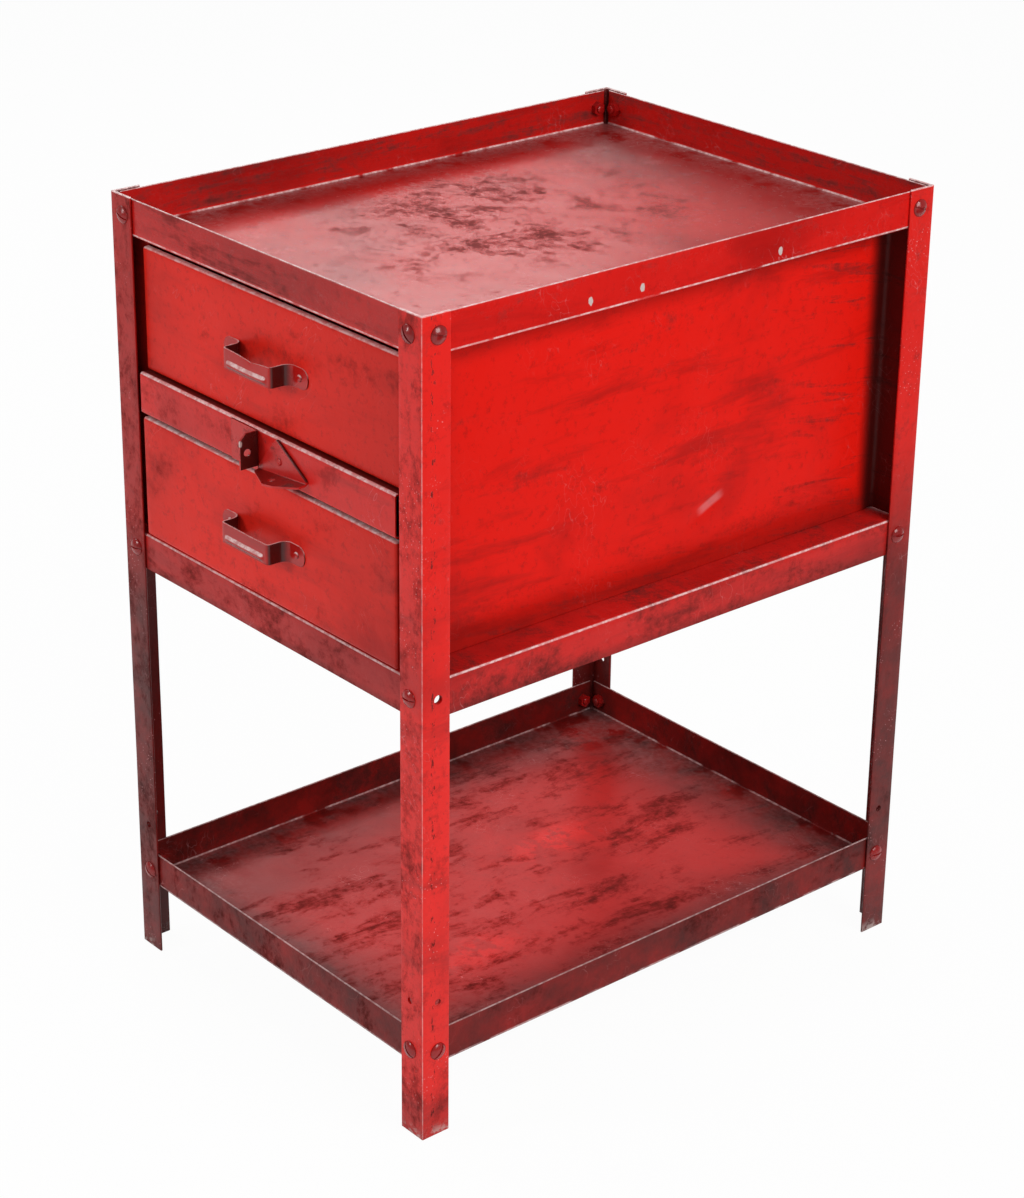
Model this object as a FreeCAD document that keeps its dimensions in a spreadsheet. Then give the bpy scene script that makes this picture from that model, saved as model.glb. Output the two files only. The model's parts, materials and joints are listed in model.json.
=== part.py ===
# Steel tool stand: an open tray, two drawers with a turning lock plate, and an open shelf,
# bolted between four angle-iron legs. Millimetres. +X is to the right seen from the drawers,
# the drawers face -Y, and +Z is up. The origin is the middle of the whole part's box, on the floor.
import FreeCAD, Part
import math
import os
import Sketcher

SIZES = {
    # Whole stand
    "overall_width": 460.0,          # over the outer faces of the legs
    "overall_depth": 616.0,
    "overall_height": 800.0,
    # Angle-iron legs
    "leg_flange": 31.0,
    "leg_thick": 2.5,
    "leg_root_radius": 3.0,          # fillet in the inside corner
    "leg_toe_radius": 1.2,           # rounded inner edge of each flange
    "bolt_inset": 18.0,              # bolt axis from the leg's outer corner
    "bolt_hole_radius": 4.5,         # wide enough to fit up to the pans
    "spare_hole_radius": 3.4,
    "spare_hole_level": 142.0,
    # Folded pans: tray, cabinet base and shelf
    "pan_height": 37.0,
    "pan_sheet": 1.5,
    "pan_bend": 3.0,                 # outer radius of the folds
    "pan_corner_notch": 5.0,         # the tray's and base's rims stop this far from the corner
    "shelf_corner_notch": 4.0,
    "leg_above_tray": 1.5,           # the legs stand this far above the tray's rim
    "base_level": 428.0,             # lower edge of the inverted base pan
    "shelf_level": 73.5,             # underside of the lower shelf
    "tray_bolt_rise": 19.5,          # bolt axes above each pan's lower edge
    "base_bolt_rise": 19.5,
    "shelf_bolt_rise": 16.5,
    "pan_hole_radius": 4.2,          # bolt holes in the pans' rims
    # Cabinet shell
    "panel_inset": 36.5,             # side panel's face from the leg's outer face
    "panel_sheet": 1.2,
    "panel_flange": 14.0,            # folded inwards at the top and bottom
    "panel_leg_gap": 0.3,            # outward flanges and back sheet to the legs' inner faces
    "panel_bend": 2.0,
    "panel_rear_bend": 5.0,
    "cabinet_rear_inset": 18.0,      # back of the cabinet from the rear legs' outer face
    "back_bend": 2.0,
    # Divider rail
    "rail_height": 41.0,
    "rail_depth": 32.0,
    "rail_sheet": 1.5,
    "rail_bend": 3.0,
    "rail_bottom_gap": 3.5,          # lower drawer front to rail
    "rail_top_gap": 1.5,             # rail to upper drawer front
    # Drawers
    "front_bottom_gap": 2.0,         # cabinet base to lower drawer front
    "front_top_gap": 7.5,            # upper drawer front to the tray
    "front_sheet": 1.2,
    "front_return": 6.0,             # depth of the folded edge
    "front_bend": 3.0,
    "closed_recess": 8.0,            # a closed drawer's face behind the legs' front
    "ajar_recess": 1.0,              # the lower drawer's face, standing slightly open
    "front_seat_gap": 0.3,           # folded edge to the side panels, drawer closed
    "box_side_gap": 2.8,             # drawer box to side panel
    "box_sheet": 1.0,
    "box_bend": 2.0,
    "box_hem": 6.0,                  # height of the folded-over top edge
    "box_lift": 21.0,                # box bottom above the front's lower edge
    "box_drop": 6.5,                 # box top below the front's upper edge
    "box_rear_gap": 25.0,            # closed drawer box to back panel
    "runner_width": 18.0,
    "runner_sheet": 2.0,
    "runner_bend": 3.0,
    "runner_gap": 0.3,               # drawer box above its runners
    # Pulls
    "pull_reach": 24.5,              # crest of the bead in front of the drawer's face
    "pull_strip": 19.5,
    "pull_sheet": 1.4,
    "pull_half_length": 63.0,
    "pull_half_grip": 36.0,
    "pull_root_bend": 6.0,
    "pull_grip_bend": 1.6,
    "pull_bead_depth": 2.2,
    "pull_bead_height": 8.5,
    "pull_bead_edge": 1.0,           # bead to the strip's lower edge
    "pull_bead_end": 5.0,            # bead's end to the leg's outer face
    "pull_tab_corner": 9.0,
    "pull_rivet_place": 51.0,
    "pull_above_middle": 0.7,        # pull's centre line above the front's middle
    # Rivets
    "rivet_shank_radius": 2.0,
    "rivet_head_radius": 3.4,
    "rivet_head_height": 1.5,
    "rivet_head_edge": 0.5,          # straight rim of the head
    "rivet_crown_radius": 2.2,       # the head's flat crown
    "rivet_tail_radius": 3.0,
    "rivet_tail_height": 1.2,
    "rivet_play": 0.05,              # radial play of a shank in its hole
    # Padlock ear: an L-shaped bracket on the rail
    "ear_place": -2.5,               # its right face from the middle
    "ear_sheet": 2.0,
    "ear_reach": 21.0,
    "ear_bottom": 6.8,               # above the rail's lower edge
    "ear_top_gap": 0.6,              # below the rail's upper edge
    "ear_chamfer": 6.5,
    "ear_bend": 3.0,
    "ear_hole_radius": 3.6,
    "ear_hole_reach": 13.5,          # hole centre from the rail's face
    "ear_hole_rise": 22.0,           # hole centre above the rail's lower edge
    "ear_base_length": 41.0,
    "ear_base_bottom": 2.0,
    # Turning lock plate, measured from its pivot
    "latch_place": 30.5,             # pivot from the middle
    "latch_rise": 20.6,              # pivot above the rail's lower edge
    "latch_tilt": 5.5,               # degrees, right end up
    "latch_sheet": 2.0,
    "latch_gap": 0.3,                # plate to rail
    "latch_left": 33.7,
    "latch_right": 38.5,
    "latch_drop": 13.6,              # folded edge below the pivot
    "latch_peak": 20.3,              # peak above the pivot
    "latch_peak_side": 1.5,          # peak to the left of the pivot
    "latch_blunt": 3.6,              # the triangle's ends are cut off square at this height
    "latch_corner": 1.5,
    "latch_bend": 3.0,
    "latch_flange": 22.0,            # tip of the flange from the plate's back
    "latch_flange_shoulder": 20.8,   # the flange's second corner, right of its tip
    "latch_shoulder_side": 12.0,
    "latch_flange_end": 9.5,         # depth of the flange's blunt right end
    "latch_hole_radius": 3.3,
    "latch_hole_side": 1.5,          # flange hole to the right of the pivot
    "latch_hole_reach": 12.5,        # flange hole from the plate's back
    "latch_rivet_radius": 3.6,
    "latch_rivet_height": 1.6,
    "latch_tail_height": 1.6,
    "latch_head_play": 0.15,         # under the rivet's head
    # Bolts and nuts
    "bolt_radius": 3.95,
    "bolt_head_radius": 8.5,
    "bolt_head_height": 4.0,
    "bolt_head_edge": 0.8,           # straight rim of the head
    "bolt_length": 11.5,
    "nut_across_flats": 12.7,
    "nut_height": 5.5,
    "nut_play": 0.05,
}

doc = FreeCAD.newDocument("ToolStand")
sheet = doc.addObject("Spreadsheet::Sheet", "Sizes")


class Size:
    """A length that knows its number and the sheet formula that gives it."""

    def __init__(self, number, formula):
        self.number = float(number)
        self.formula = formula

    def join(self, other, number, sign):
        text = other.formula if isinstance(other, Size) else repr(float(other))
        return Size(number, "(" + self.formula + " " + sign + " " + text + ")")

    def __add__(self, other):
        return self.join(other, self.number + number_of(other), "+")

    def __sub__(self, other):
        return self.join(other, self.number - number_of(other), "-")

    def __mul__(self, other):
        return self.join(other, self.number * number_of(other), "*")

    def __truediv__(self, other):
        return self.join(other, self.number / number_of(other), "/")

    def __neg__(self):
        return self * -1


def number_of(value):
    """The plain number of a Size or of a number."""
    return value.number if isinstance(value, Size) else float(value)


def fill_sheet():
    """Write every size as a plain number with its word as alias."""
    named = {}
    for row, (name, value) in enumerate(SIZES.items(), start=1):
        sheet.set("A%d" % row, name)
        sheet.set("B%d" % row, str(value))
        sheet.setAlias("B%d" % row, name)
        named[name] = Size(value, "Sizes." + name)
    doc.recompute()
    return named


size = fill_sheet()
zero = Size(0, "0")

# Heights and planes that several pieces share
half_width = size["overall_width"] / 2
half_depth = size["overall_depth"] / 2
pull_front = size["pull_reach"] - size["ajar_recess"]
middle_y = (pull_front - size["bolt_head_height"]) / 2
front_y = middle_y - half_depth
rear_y = middle_y + half_depth
tray_level = size["overall_height"] - size["leg_above_tray"] - size["pan_height"]
cabinet_floor = size["base_level"] + size["pan_height"]
cabinet_height = tray_level - cabinet_floor
cabinet_half = half_width - size["panel_inset"]
panel_inside = cabinet_half - size["panel_sheet"]
panel_front = front_y + size["closed_recess"] + size["front_return"] + size["front_seat_gap"]
panel_rear = rear_y - size["cabinet_rear_inset"]
leg_inside = half_width - size["leg_thick"] - size["panel_leg_gap"]
front_gaps = size["front_bottom_gap"] + size["rail_bottom_gap"] + size["rail_top_gap"] + size["front_top_gap"]
front_height = (cabinet_height - front_gaps - size["rail_height"]) / 2
lower_front_level = cabinet_floor + size["front_bottom_gap"]
rail_level = lower_front_level + front_height + size["rail_bottom_gap"]
upper_front_level = rail_level + size["rail_height"] + size["rail_top_gap"]
box_half = panel_inside - size["box_side_gap"]
box_height = front_height - size["box_lift"] - size["box_drop"]
box_start = size["front_sheet"]
box_end = panel_rear - size["box_rear_gap"] - front_y - size["closed_recess"]
pull_level = front_height / 2 + size["pull_above_middle"]

# The sketch planes, the body axis each extrusion follows, and its sign along the plane's normal
PLANES = {"XY": ("XY_Plane", 1), "XZ": ("XZ_Plane", -1), "YZ": ("YZ_Plane", 1)}
parts = []


def piece(name):
    """A body that is one solid of a node, or a pattern for several."""
    body = doc.addObject("PartDesign::Body", name)
    body.Label = name
    return body


def new_body(name):
    """A body whose name is its node's name."""
    body = piece(name)
    parts.append(body)
    return body


def gathered(name, pieces):
    """A node of several pieces fixed to each other."""
    node = doc.addObject("Part::Compound", name)
    node.Label = name
    node.Links = pieces
    parts.append(node)


def place(thing, x=zero, y=zero, z=zero, turn=None):
    """Put a sub-part where the sheet says, with an optional fixed turn."""
    spot = FreeCAD.Vector(x.number, y.number, z.number)
    thing.Placement = FreeCAD.Placement(spot, turn or FreeCAD.Rotation())
    for axis, value in (("x", x), ("y", y), ("z", z)):
        thing.setExpression("Placement.Base." + axis, value.formula)


def new_sketch(body, plane, level=zero):
    """A sketch on one of the body's own planes, moved to a level along the world axis."""
    role, sign = PLANES[plane]
    sketch = body.newObject("Sketcher::SketchObject", body.Name + "_sketch")
    origin = [item for item in body.Origin.OriginFeatures if item.Role == role][0]
    sketch.AttachmentSupport = (origin, [""])
    sketch.MapMode = "FlatFace"
    offset = level * sign
    sketch.AttachmentOffset.Base.z = offset.number
    sketch.setExpression("AttachmentOffset.Base.z", offset.formula)
    return sketch


def pin_point(sketch, geometry, end, point):
    """Fix one end of a line or arc at a point of named sizes."""
    for kind, value in (("DistanceX", point[0]), ("DistanceY", point[1])):
        rule = Sketcher.Constraint(kind, -1, 1, geometry, end, value.number)
        index = sketch.addConstraint(rule)
        sketch.setExpression("Constraints[%d]" % index, value.formula)


def set_radius(sketch, geometry, radius):
    """Give a circle or arc its named radius."""
    index = sketch.addConstraint(Sketcher.Constraint("Radius", geometry, radius.number))
    sketch.setExpression("Constraints[%d]" % index, radius.formula)


def vector(point):
    """The drawing point of a pair of sizes."""
    return FreeCAD.Vector(point[0].number, point[1].number, 0)


def add_line(sketch, start, end):
    """A straight edge with both ends fixed."""
    line = sketch.addGeometry(Part.LineSegment(vector(start), vector(end)))
    pin_point(sketch, line, 1, start)
    pin_point(sketch, line, 2, end)
    return line


def add_arc(sketch, start, middle, end, radius):
    """A round edge from start to end through middle. Its ends are joined to the edges beside it."""
    shape = Part.Arc(vector(start), FreeCAD.Vector(middle[0], middle[1], 0), vector(end))
    arc = sketch.addGeometry(shape)
    set_radius(sketch, arc, radius)
    return arc


def nearest_end(sketch, geometry, point):
    """1 or 2: the end of an edge that lies at a point."""
    gaps = [(sketch.getPoint(geometry, end) - vector(point)).Length for end in (1, 2)]
    return 1 + gaps.index(min(gaps))


def direction(start, end):
    """The sign of the way from one corner to the next, along each sketch axis."""
    steps = [end[axis].number - start[axis].number for axis in (0, 1)]
    return [0 if abs(step) < 1e-9 else math.copysign(1, step) for step in steps]


def outline(sketch, corners):
    """A closed outline through corners (x, y) or (x, y, radius). A corner with a radius joins
    two edges that run along the sketch's axes."""
    count = len(corners)
    starts, ends, rounds = [], [], []
    for index, corner in enumerate(corners):
        radius = corner[2] if len(corner) > 2 else None
        if radius is None:
            starts.append(corner[:2])
            ends.append(corner[:2])
            rounds.append(None)
            continue
        come = direction(corners[index - 1], corner)
        leave = direction(corner, corners[(index + 1) % count])
        starts.append([corner[axis] - radius * come[axis] for axis in (0, 1)])
        ends.append([corner[axis] + radius * leave[axis] for axis in (0, 1)])
        bulge = radius.number * (1 - math.sqrt(0.5))
        rounds.append([corner[axis].number + bulge * (leave[axis] - come[axis]) for axis in (0, 1)])
    for index in range(count):
        follower = (index + 1) % count
        add_line(sketch, ends[index], starts[follower])
        if rounds[index] is not None:
            arc = add_arc(sketch, starts[index], rounds[index], ends[index], corners[index][2])
            for point in (starts[index], ends[index]):
                pin_point(sketch, arc, nearest_end(sketch, arc, point), point)


def rectangle(sketch, left, right, bottom, top):
    """A closed rectangle between named sizes."""
    outline(sketch, [(left, bottom), (right, bottom), (right, top), (left, top)])


def circle(sketch, x, y, radius):
    """A circle with its named centre and radius."""
    shape = Part.Circle(FreeCAD.Vector(x.number, y.number, 0), FreeCAD.Vector(0, 0, 1), radius.number)
    ring = sketch.addGeometry(shape)
    pin_point(sketch, ring, 3, (x, y))
    set_radius(sketch, ring, radius)


def pad(body, sketch, length):
    """Extrude a sketch along its normal."""
    feature = body.newObject("PartDesign::Pad", body.Name + "_pad")
    feature.Profile = sketch
    feature.Length = length.number
    feature.setExpression("Length", length.formula)
    sketch.Visibility = False
    return feature


def slab(body, plane, low, high, corners):
    """Extrude an outline from low to high along the world axis square to its plane."""
    start = low if PLANES[plane][1] > 0 else high
    sketch = new_sketch(body, plane, start)
    outline(sketch, corners)
    return pad(body, sketch, high - low)


def cut_through(body, sketch):
    """Cut a sketch through everything, both ways."""
    feature = body.newObject("PartDesign::Pocket", body.Name + "_pocket")
    feature.Profile = sketch
    feature.Type = "ThroughAll"
    feature.SideType = "Symmetric"
    return feature


def round_edges(body, feature, radius, chosen):
    """Round the edges of a feature that a test picks by their middle point and direction."""
    doc.recompute()
    names = []
    for index, edge in enumerate(feature.Shape.Edges, start=1):
        middle = edge.valueAt((edge.FirstParameter + edge.LastParameter) / 2)
        along = edge.Vertexes[-1].Point - edge.Vertexes[0].Point
        if chosen(middle, along):
            names.append("Edge%d" % index)
    fillet = body.newObject("PartDesign::Fillet", body.Name + "_round")
    fillet.Base = (feature, names)
    fillet.Radius = radius.number
    fillet.setExpression("Radius", radius.formula)
    return fillet


def runs_along(along, axis):
    """True where an edge is straight along one axis."""
    others = [abs(along[index]) for index in range(3) if index != axis]
    return abs(along[axis]) > 1e-6 and max(others) < 1e-6


# Legs


def leg(name, side, end):
    """An angle-iron leg at one corner. side and end are the signs of X and Y there."""
    body = new_body(name)
    flange, thick = size["leg_flange"], size["leg_thick"]
    toe, root = size["leg_toe_radius"], size["leg_root_radius"]
    across, along = -side, -end
    corners = [
        (zero, zero),
        (flange * across, zero),
        (flange * across, thick * along, toe),
        (thick * across, thick * along, root),
        (thick * across, flange * along, toe),
        (zero, flange * along),
    ]
    slab(body, "XY", zero, size["overall_height"], corners)
    inset = size["bolt_inset"]
    levels = [tray_level + size["tray_bolt_rise"], size["base_level"] + size["base_bolt_rise"],
              size["shelf_level"] + size["shelf_bolt_rise"]]
    for plane, sign in (("XZ", across), ("YZ", along)):
        holes = new_sketch(body, plane)
        for level in levels:
            circle(holes, inset * sign, level, size["bolt_hole_radius"])
        circle(holes, inset * sign, size["spare_hole_level"], size["spare_hole_radius"])
        cut_through(body, holes)
    place(body, half_width * side, middle_y + half_depth * end)


def channel(half, depth, thickness, bend):
    """The corners of a U: a web with two flanges that rise to depth, both folds rounded."""
    inner = bend - thickness
    return [
        (-half, depth), (-half, zero, bend), (half, zero, bend), (half, depth),
        (half - thickness, depth), (half - thickness, thickness, inner),
        (thickness - half, thickness, inner), (thickness - half, depth),
    ]


def turned(corners):
    """The same outline with its two directions exchanged."""
    return [(corner[1], corner[0]) + tuple(corner[2:]) for corner in corners]


# Folded pans


def pan(name, level, bolt_rise, notch, inverted):
    """A sheet pan folded up on four sides, with a notch at each corner of the blank."""
    body = new_body(name)
    half_x = half_width - size["leg_thick"]
    half_y = half_depth - size["leg_thick"]
    folds = (size["pan_height"], size["pan_sheet"], size["pan_bend"])
    slab(body, "XZ", notch - half_y, half_y - notch, channel(half_x, *folds))
    slab(body, "YZ", notch - half_x, half_x - notch, channel(half_y, *folds))
    rise = size["pan_height"] - bolt_rise if inverted else bolt_rise
    for plane, half in (("XZ", half_width), ("YZ", half_depth)):
        holes = new_sketch(body, plane)
        for sign in (-1, 1):
            circle(holes, (half - size["bolt_inset"]) * sign, rise, size["pan_hole_radius"])
        cut_through(body, holes)
    if inverted:
        over = FreeCAD.Rotation(FreeCAD.Vector(1, 0, 0), 180)
        place(body, zero, middle_y, level + size["pan_height"], over)
    else:
        place(body, zero, middle_y, level)


# Cabinet shell


def side_panel(name, side):
    """A side sheet folded inwards at its top and bottom, and outwards to the legs at its ends."""
    body = new_body(name)
    flange, thick, bend = size["panel_flange"], size["panel_sheet"], size["panel_bend"]
    tall, rear = cabinet_height, size["panel_rear_bend"]
    inward = -side
    depth = panel_rear - panel_front
    profile = [
        (zero, zero, bend), (flange * inward, zero), (flange * inward, thick),
        (thick * inward, thick, bend - thick), (thick * inward, tall - thick, bend - thick),
        (flange * inward, tall - thick), (flange * inward, tall), (zero, tall, bend),
    ]
    slab(body, "XZ", bend, depth - rear, profile)
    reach = (leg_inside - cabinet_half) * side
    slab(body, "XY", zero, tall, [
        (thick * inward, bend * 2), (thick * inward, zero, bend), (reach, zero), (reach, thick),
        (zero, thick, bend - thick), (zero, bend * 2),
    ])
    slab(body, "XY", zero, tall, [
        (thick * inward, depth - rear * 2), (thick * inward, depth, rear), (reach, depth),
        (reach, depth - thick), (zero, depth - thick, rear - thick), (zero, depth - rear * 2),
    ])
    place(body, cabinet_half * side, panel_front, cabinet_floor)


def back_panel():
    """The back sheet between the rear legs, against the side panels' rear flanges. It is folded
    forward at its top and bottom, between the side panels' own folds."""
    body = new_body("cabinet_back")
    thick, flange, bend = size["panel_sheet"], size["panel_flange"], size["back_bend"]
    between = cabinet_half - size["panel_flange"] - size["panel_leg_gap"]
    tall = cabinet_height
    profile = [
        (thick, zero, bend), (thick, tall, bend), (-flange, tall), (-flange, tall - thick),
        (zero, tall - thick, bend - thick), (zero, thick, bend - thick), (-flange, thick),
        (-flange, zero),
    ]
    slab(body, "YZ", -between, between, profile)
    slab(body, "XZ", zero, thick, [(-leg_inside, bend), (leg_inside, bend),
                                   (leg_inside, tall - bend), (-leg_inside, tall - bend)])
    place(body, zero, panel_rear, cabinet_floor)


def divider_rail():
    """The channel between the drawers. Its ends are notched to pass between the side panels."""
    body = new_body("divider_rail")
    tall, depth, thick, bend = size["rail_height"], size["rail_depth"], size["rail_sheet"], size["rail_bend"]
    profile = [
        (zero, zero, bend), (depth, zero), (depth, thick), (thick, thick, bend - thick),
        (thick, tall - thick, bend - thick), (depth, tall - thick), (depth, tall), (zero, tall, bend),
    ]
    slab(body, "YZ", -cabinet_half, cabinet_half, profile)
    notches = new_sketch(body, "XY")
    for side in (-1, 1):
        rectangle(notches, panel_inside * side, (cabinet_half + thick) * side,
                  panel_front - front_y, depth + thick)
    cut_through(body, notches)
    pivot = new_sketch(body, "XZ")
    circle(pivot, size["latch_place"], size["latch_rise"], size["rivet_shank_radius"] + size["rivet_play"])
    cut_through(body, pivot)
    place(body, zero, front_y, rail_level)


def runner(name, side, box_level):
    """An angle runner on a side panel: the drawer box slides on its top."""
    body = new_body(name)
    wide, thick, bend = size["runner_width"], size["runner_sheet"], size["runner_bend"]
    inward = -side
    profile = [
        (zero, zero, bend), (wide * inward, zero), (wide * inward, -thick),
        (thick * inward, -thick, bend - thick), (thick * inward, -wide), (zero, -wide),
    ]
    start = size["rail_depth"] - (panel_front - front_y)
    slab(body, "XZ", start, panel_rear - size["panel_rear_bend"] - panel_front, profile)
    place(body, panel_inside * side, panel_front, box_level - size["runner_gap"])


# Drawers


def drawer_front(name, level, recess):
    """A drawer front pressed as a shallow pan, with the holes for its pull's rivets."""
    body = new_body(name)
    half = cabinet_half
    bend = size["front_bend"]
    folds = (size["front_return"], size["front_sheet"], bend)
    slab(body, "XY", bend, front_height - bend, channel(half, *folds))
    upright = turned(channel(front_height / 2, *folds))
    upright = [(corner[0], corner[1] + front_height / 2) + tuple(corner[2:]) for corner in upright]
    slab(body, "YZ", bend - half, half - bend, upright)
    pull_holes(body)
    place(body, zero, front_y + recess, level)


def pull_holes(body):
    """The two rivet holes of a pull."""
    holes = new_sketch(body, "XZ")
    for side in (-1, 1):
        circle(holes, size["pull_rivet_place"] * side, pull_level,
               size["rivet_shank_radius"] + size["rivet_play"])
    cut_through(body, holes)


def drawer_box(name, level, recess):
    """An open box behind the front: a bottom with hemmed sides, and two end walls fixed in it."""
    half, thick, bend = box_half, size["box_sheet"], size["box_bend"]
    low, high = size["box_lift"], size["box_lift"] + box_height
    hem = high - size["box_hem"]
    double = thick * 2
    within = [
        (half - double, high), (half - double, hem), (half - thick, hem),
        (half - thick, low + thick, bend - thick), (thick - half, low + thick, bend - thick),
        (thick - half, hem), (double - half, hem), (double - half, high),
    ]
    around = [(-half, high), (-half, low, bend), (half, low, bend), (half, high)]
    folded, front, back = (piece(name + word) for word in ("_sheet", "_front_wall", "_back_wall"))
    slab(folded, "XZ", box_start, box_end, around + within)
    slab(front, "XZ", box_start, box_start + thick, within)
    pull_holes(front)
    slab(back, "XZ", box_end - thick, box_end, within)
    for body in (folded, front, back):
        place(body, zero, front_y + recess, level)
    gathered(name, [folded, front, back])


def bead_outline(sketch, face, low, high, depth):
    """A chord at face and an arc that stands depth in front of it, towards -Y."""
    half = (high - low) / 2
    radius = (half * half + depth * depth) / (depth * 2)
    middle = ((face - depth).number, (low + half).number)
    add_line(sketch, (face, low), (face, high))
    arc = add_arc(sketch, (face, low), middle, (face, high), radius)
    for point in ((face, low), (face, high)):
        pin_point(sketch, arc, nearest_end(sketch, arc, point), point)


def drawer_pull(name, level, recess):
    """A pull pressed from one strip: round-ended tabs, bent legs and a beaded grip."""
    body = new_body(name)
    long, half, thick = size["pull_half_length"], size["pull_half_grip"], size["pull_sheet"]
    root, bend = size["pull_root_bend"], size["pull_grip_bend"]
    grip = size["pull_reach"] - size["pull_bead_depth"]
    tall = size["pull_strip"] / 2
    plan = [
        (-long, zero), (thick - half, zero, root + thick), (thick - half, thick - grip, bend),
        (half - thick, thick - grip, bend), (half - thick, zero, root + thick), (long, zero),
        (long, -thick), (half, -thick, root), (half, -grip, bend + thick),
        (-half, -grip, bend + thick), (-half, -thick, root), (-long, -thick),
    ]
    strip = slab(body, "XY", -tall, tall, plan)

    def at_tab_end(middle, along):
        return runs_along(along, 1) and abs(abs(middle.x) - long.number) < 1e-6

    round_edges(body, strip, size["pull_tab_corner"], at_tab_end)
    reach = half - size["pull_bead_end"]
    low = size["pull_bead_edge"] - tall
    high = low + size["pull_bead_height"]
    bead = new_sketch(body, "YZ", -reach)
    bead_outline(bead, -grip, low, high, size["pull_bead_depth"])
    pad(body, bead, reach * 2)
    hollow_reach = reach - thick
    hollow = new_sketch(body, "YZ", hollow_reach)
    bead_outline(hollow, thick - grip, low + thick / 2, high - thick / 2, size["pull_bead_depth"])
    pocket = body.newObject("PartDesign::Pocket", name + "_hollow")
    pocket.Profile = hollow
    pocket.Length = (hollow_reach * 2).number
    pocket.setExpression("Length", (hollow_reach * 2).formula)
    holes = new_sketch(body, "XZ")
    for side in (-1, 1):
        circle(holes, size["pull_rivet_place"] * side, zero, size["rivet_shank_radius"] + size["rivet_play"])
    cut_through(body, holes)
    place(body, zero, front_y + recess, level + pull_level)


# Lock


def padlock_ear():
    """The fixed bracket: a base plate on the rail and an ear with a padlock hole."""
    body = new_body("padlock_ear")
    thick, bend = size["ear_sheet"], size["ear_bend"]
    low, high = size["ear_bottom"], size["rail_height"] - size["ear_top_gap"]
    slab(body, "XZ", -thick, zero, [(-size["ear_base_length"], size["ear_base_bottom"]),
                                    (zero, size["ear_base_bottom"]), (zero, high),
                                    (-size["ear_base_length"], high)])
    chamfer = size["ear_chamfer"]
    reach = size["ear_reach"]
    slab(body, "YZ", -thick, zero, [(zero, low), (zero, high), (chamfer - reach, high),
                                    (-reach, high - chamfer), (-reach, low)])

    def at_fold(middle, along):
        outer = abs(middle.x) < 1e-6 and abs(middle.y) < 1e-6
        return runs_along(along, 2) and outer and middle.z > low.number

    round_edges(body, body.Tip, bend, at_fold)
    hole = new_sketch(body, "YZ")
    circle(hole, -size["ear_hole_reach"], size["ear_hole_rise"], size["ear_hole_radius"])
    cut_through(body, hole)
    place(body, size["ear_place"], front_y, rail_level)


def latch_plate():
    """The turning lock plate: a triangle with a flange folded forward along its base."""
    body = new_body("latch_plate")
    thick, drop, blunt = size["latch_sheet"], size["latch_drop"], size["latch_blunt"]
    left, right = -size["latch_left"], size["latch_right"]
    peak = -size["latch_peak_side"]
    triangle = [(left, -drop), (right, -drop), (right, blunt - drop), (peak, size["latch_peak"]),
                (left, blunt - drop)]
    slab(body, "XZ", -thick, zero, triangle)

    def at_peak(middle, along):
        return runs_along(along, 1) and middle.z > (blunt - drop).number - 1e-6

    round_edges(body, body.Tip, size["latch_corner"], at_peak)
    tip, shoulder = -size["latch_flange"], -size["latch_flange_shoulder"]
    flange = [(left, zero), (left, -blunt), (peak, tip), (size["latch_shoulder_side"], shoulder),
              (right, -size["latch_flange_end"]), (right, zero)]
    slab(body, "XY", -drop, thick - drop, flange)

    def at_nose(middle, along):
        return runs_along(along, 2) and middle.y < -blunt.number + 1e-6

    round_edges(body, body.Tip, size["latch_corner"], at_nose)

    def at_fold(middle, along):
        return runs_along(along, 0) and abs(middle.y) < 1e-6 and abs(middle.z + drop.number) < 1e-6

    round_edges(body, body.Tip, size["latch_bend"], at_fold)
    holes = new_sketch(body, "XZ")
    circle(holes, zero, zero, size["rivet_shank_radius"] + size["rivet_play"])
    cut_through(body, holes)
    eye = new_sketch(body, "XY")
    circle(eye, size["latch_hole_side"], -size["latch_hole_reach"], size["latch_hole_radius"])
    cut_through(body, eye)
    turn = FreeCAD.Rotation(FreeCAD.Vector(0, -1, 0), size["latch_tilt"].number)
    place(body, size["latch_place"], front_y - size["latch_gap"], rail_level + size["latch_rise"], turn)
    body.setExpression("Placement.Rotation.Angle", size["latch_tilt"].formula)


# Fasteners


def domed_section(body, corners, edge, top):
    """A half section in the XZ plane: straight through the corners to edge, then a dome to top."""
    sketch = new_sketch(body, "XZ")
    points = corners + [edge]
    for start, end in zip(points[:-1], points[1:]):
        add_line(sketch, start, end)
    rise = top[1] - edge[1]
    radius = (edge[0] * edge[0] + rise * rise) / (rise * 2)
    lean = math.asin(edge[0].number / radius.number) / 2
    middle = (radius.number * math.sin(lean), top[1].number - radius.number * (1 - math.cos(lean)))
    arc = add_arc(sketch, edge, middle, top, radius)
    for point in (edge, top):
        pin_point(sketch, arc, nearest_end(sketch, arc, point), point)
    add_line(sketch, top, points[0])
    return sketch


def spin(body, sketch):
    """Revolve a half section about the body's Z axis."""
    feature = body.newObject("PartDesign::Revolution", body.Name + "_spin")
    feature.Profile = sketch
    feature.ReferenceAxis = (sketch, ["V_Axis"])
    feature.Angle = 360
    return feature


def domed_pin(name, head_radius, head_height, edge, shank_radius, length):
    """A round-headed pin along Z, its head's underside at zero. Used as a pattern for copies."""
    body = piece(name)
    corners = [(zero, -length), (shank_radius, -length), (shank_radius, zero), (head_radius, zero)]
    spin(body, domed_section(body, corners, (head_radius, edge), (zero, head_height)))
    return body


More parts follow.
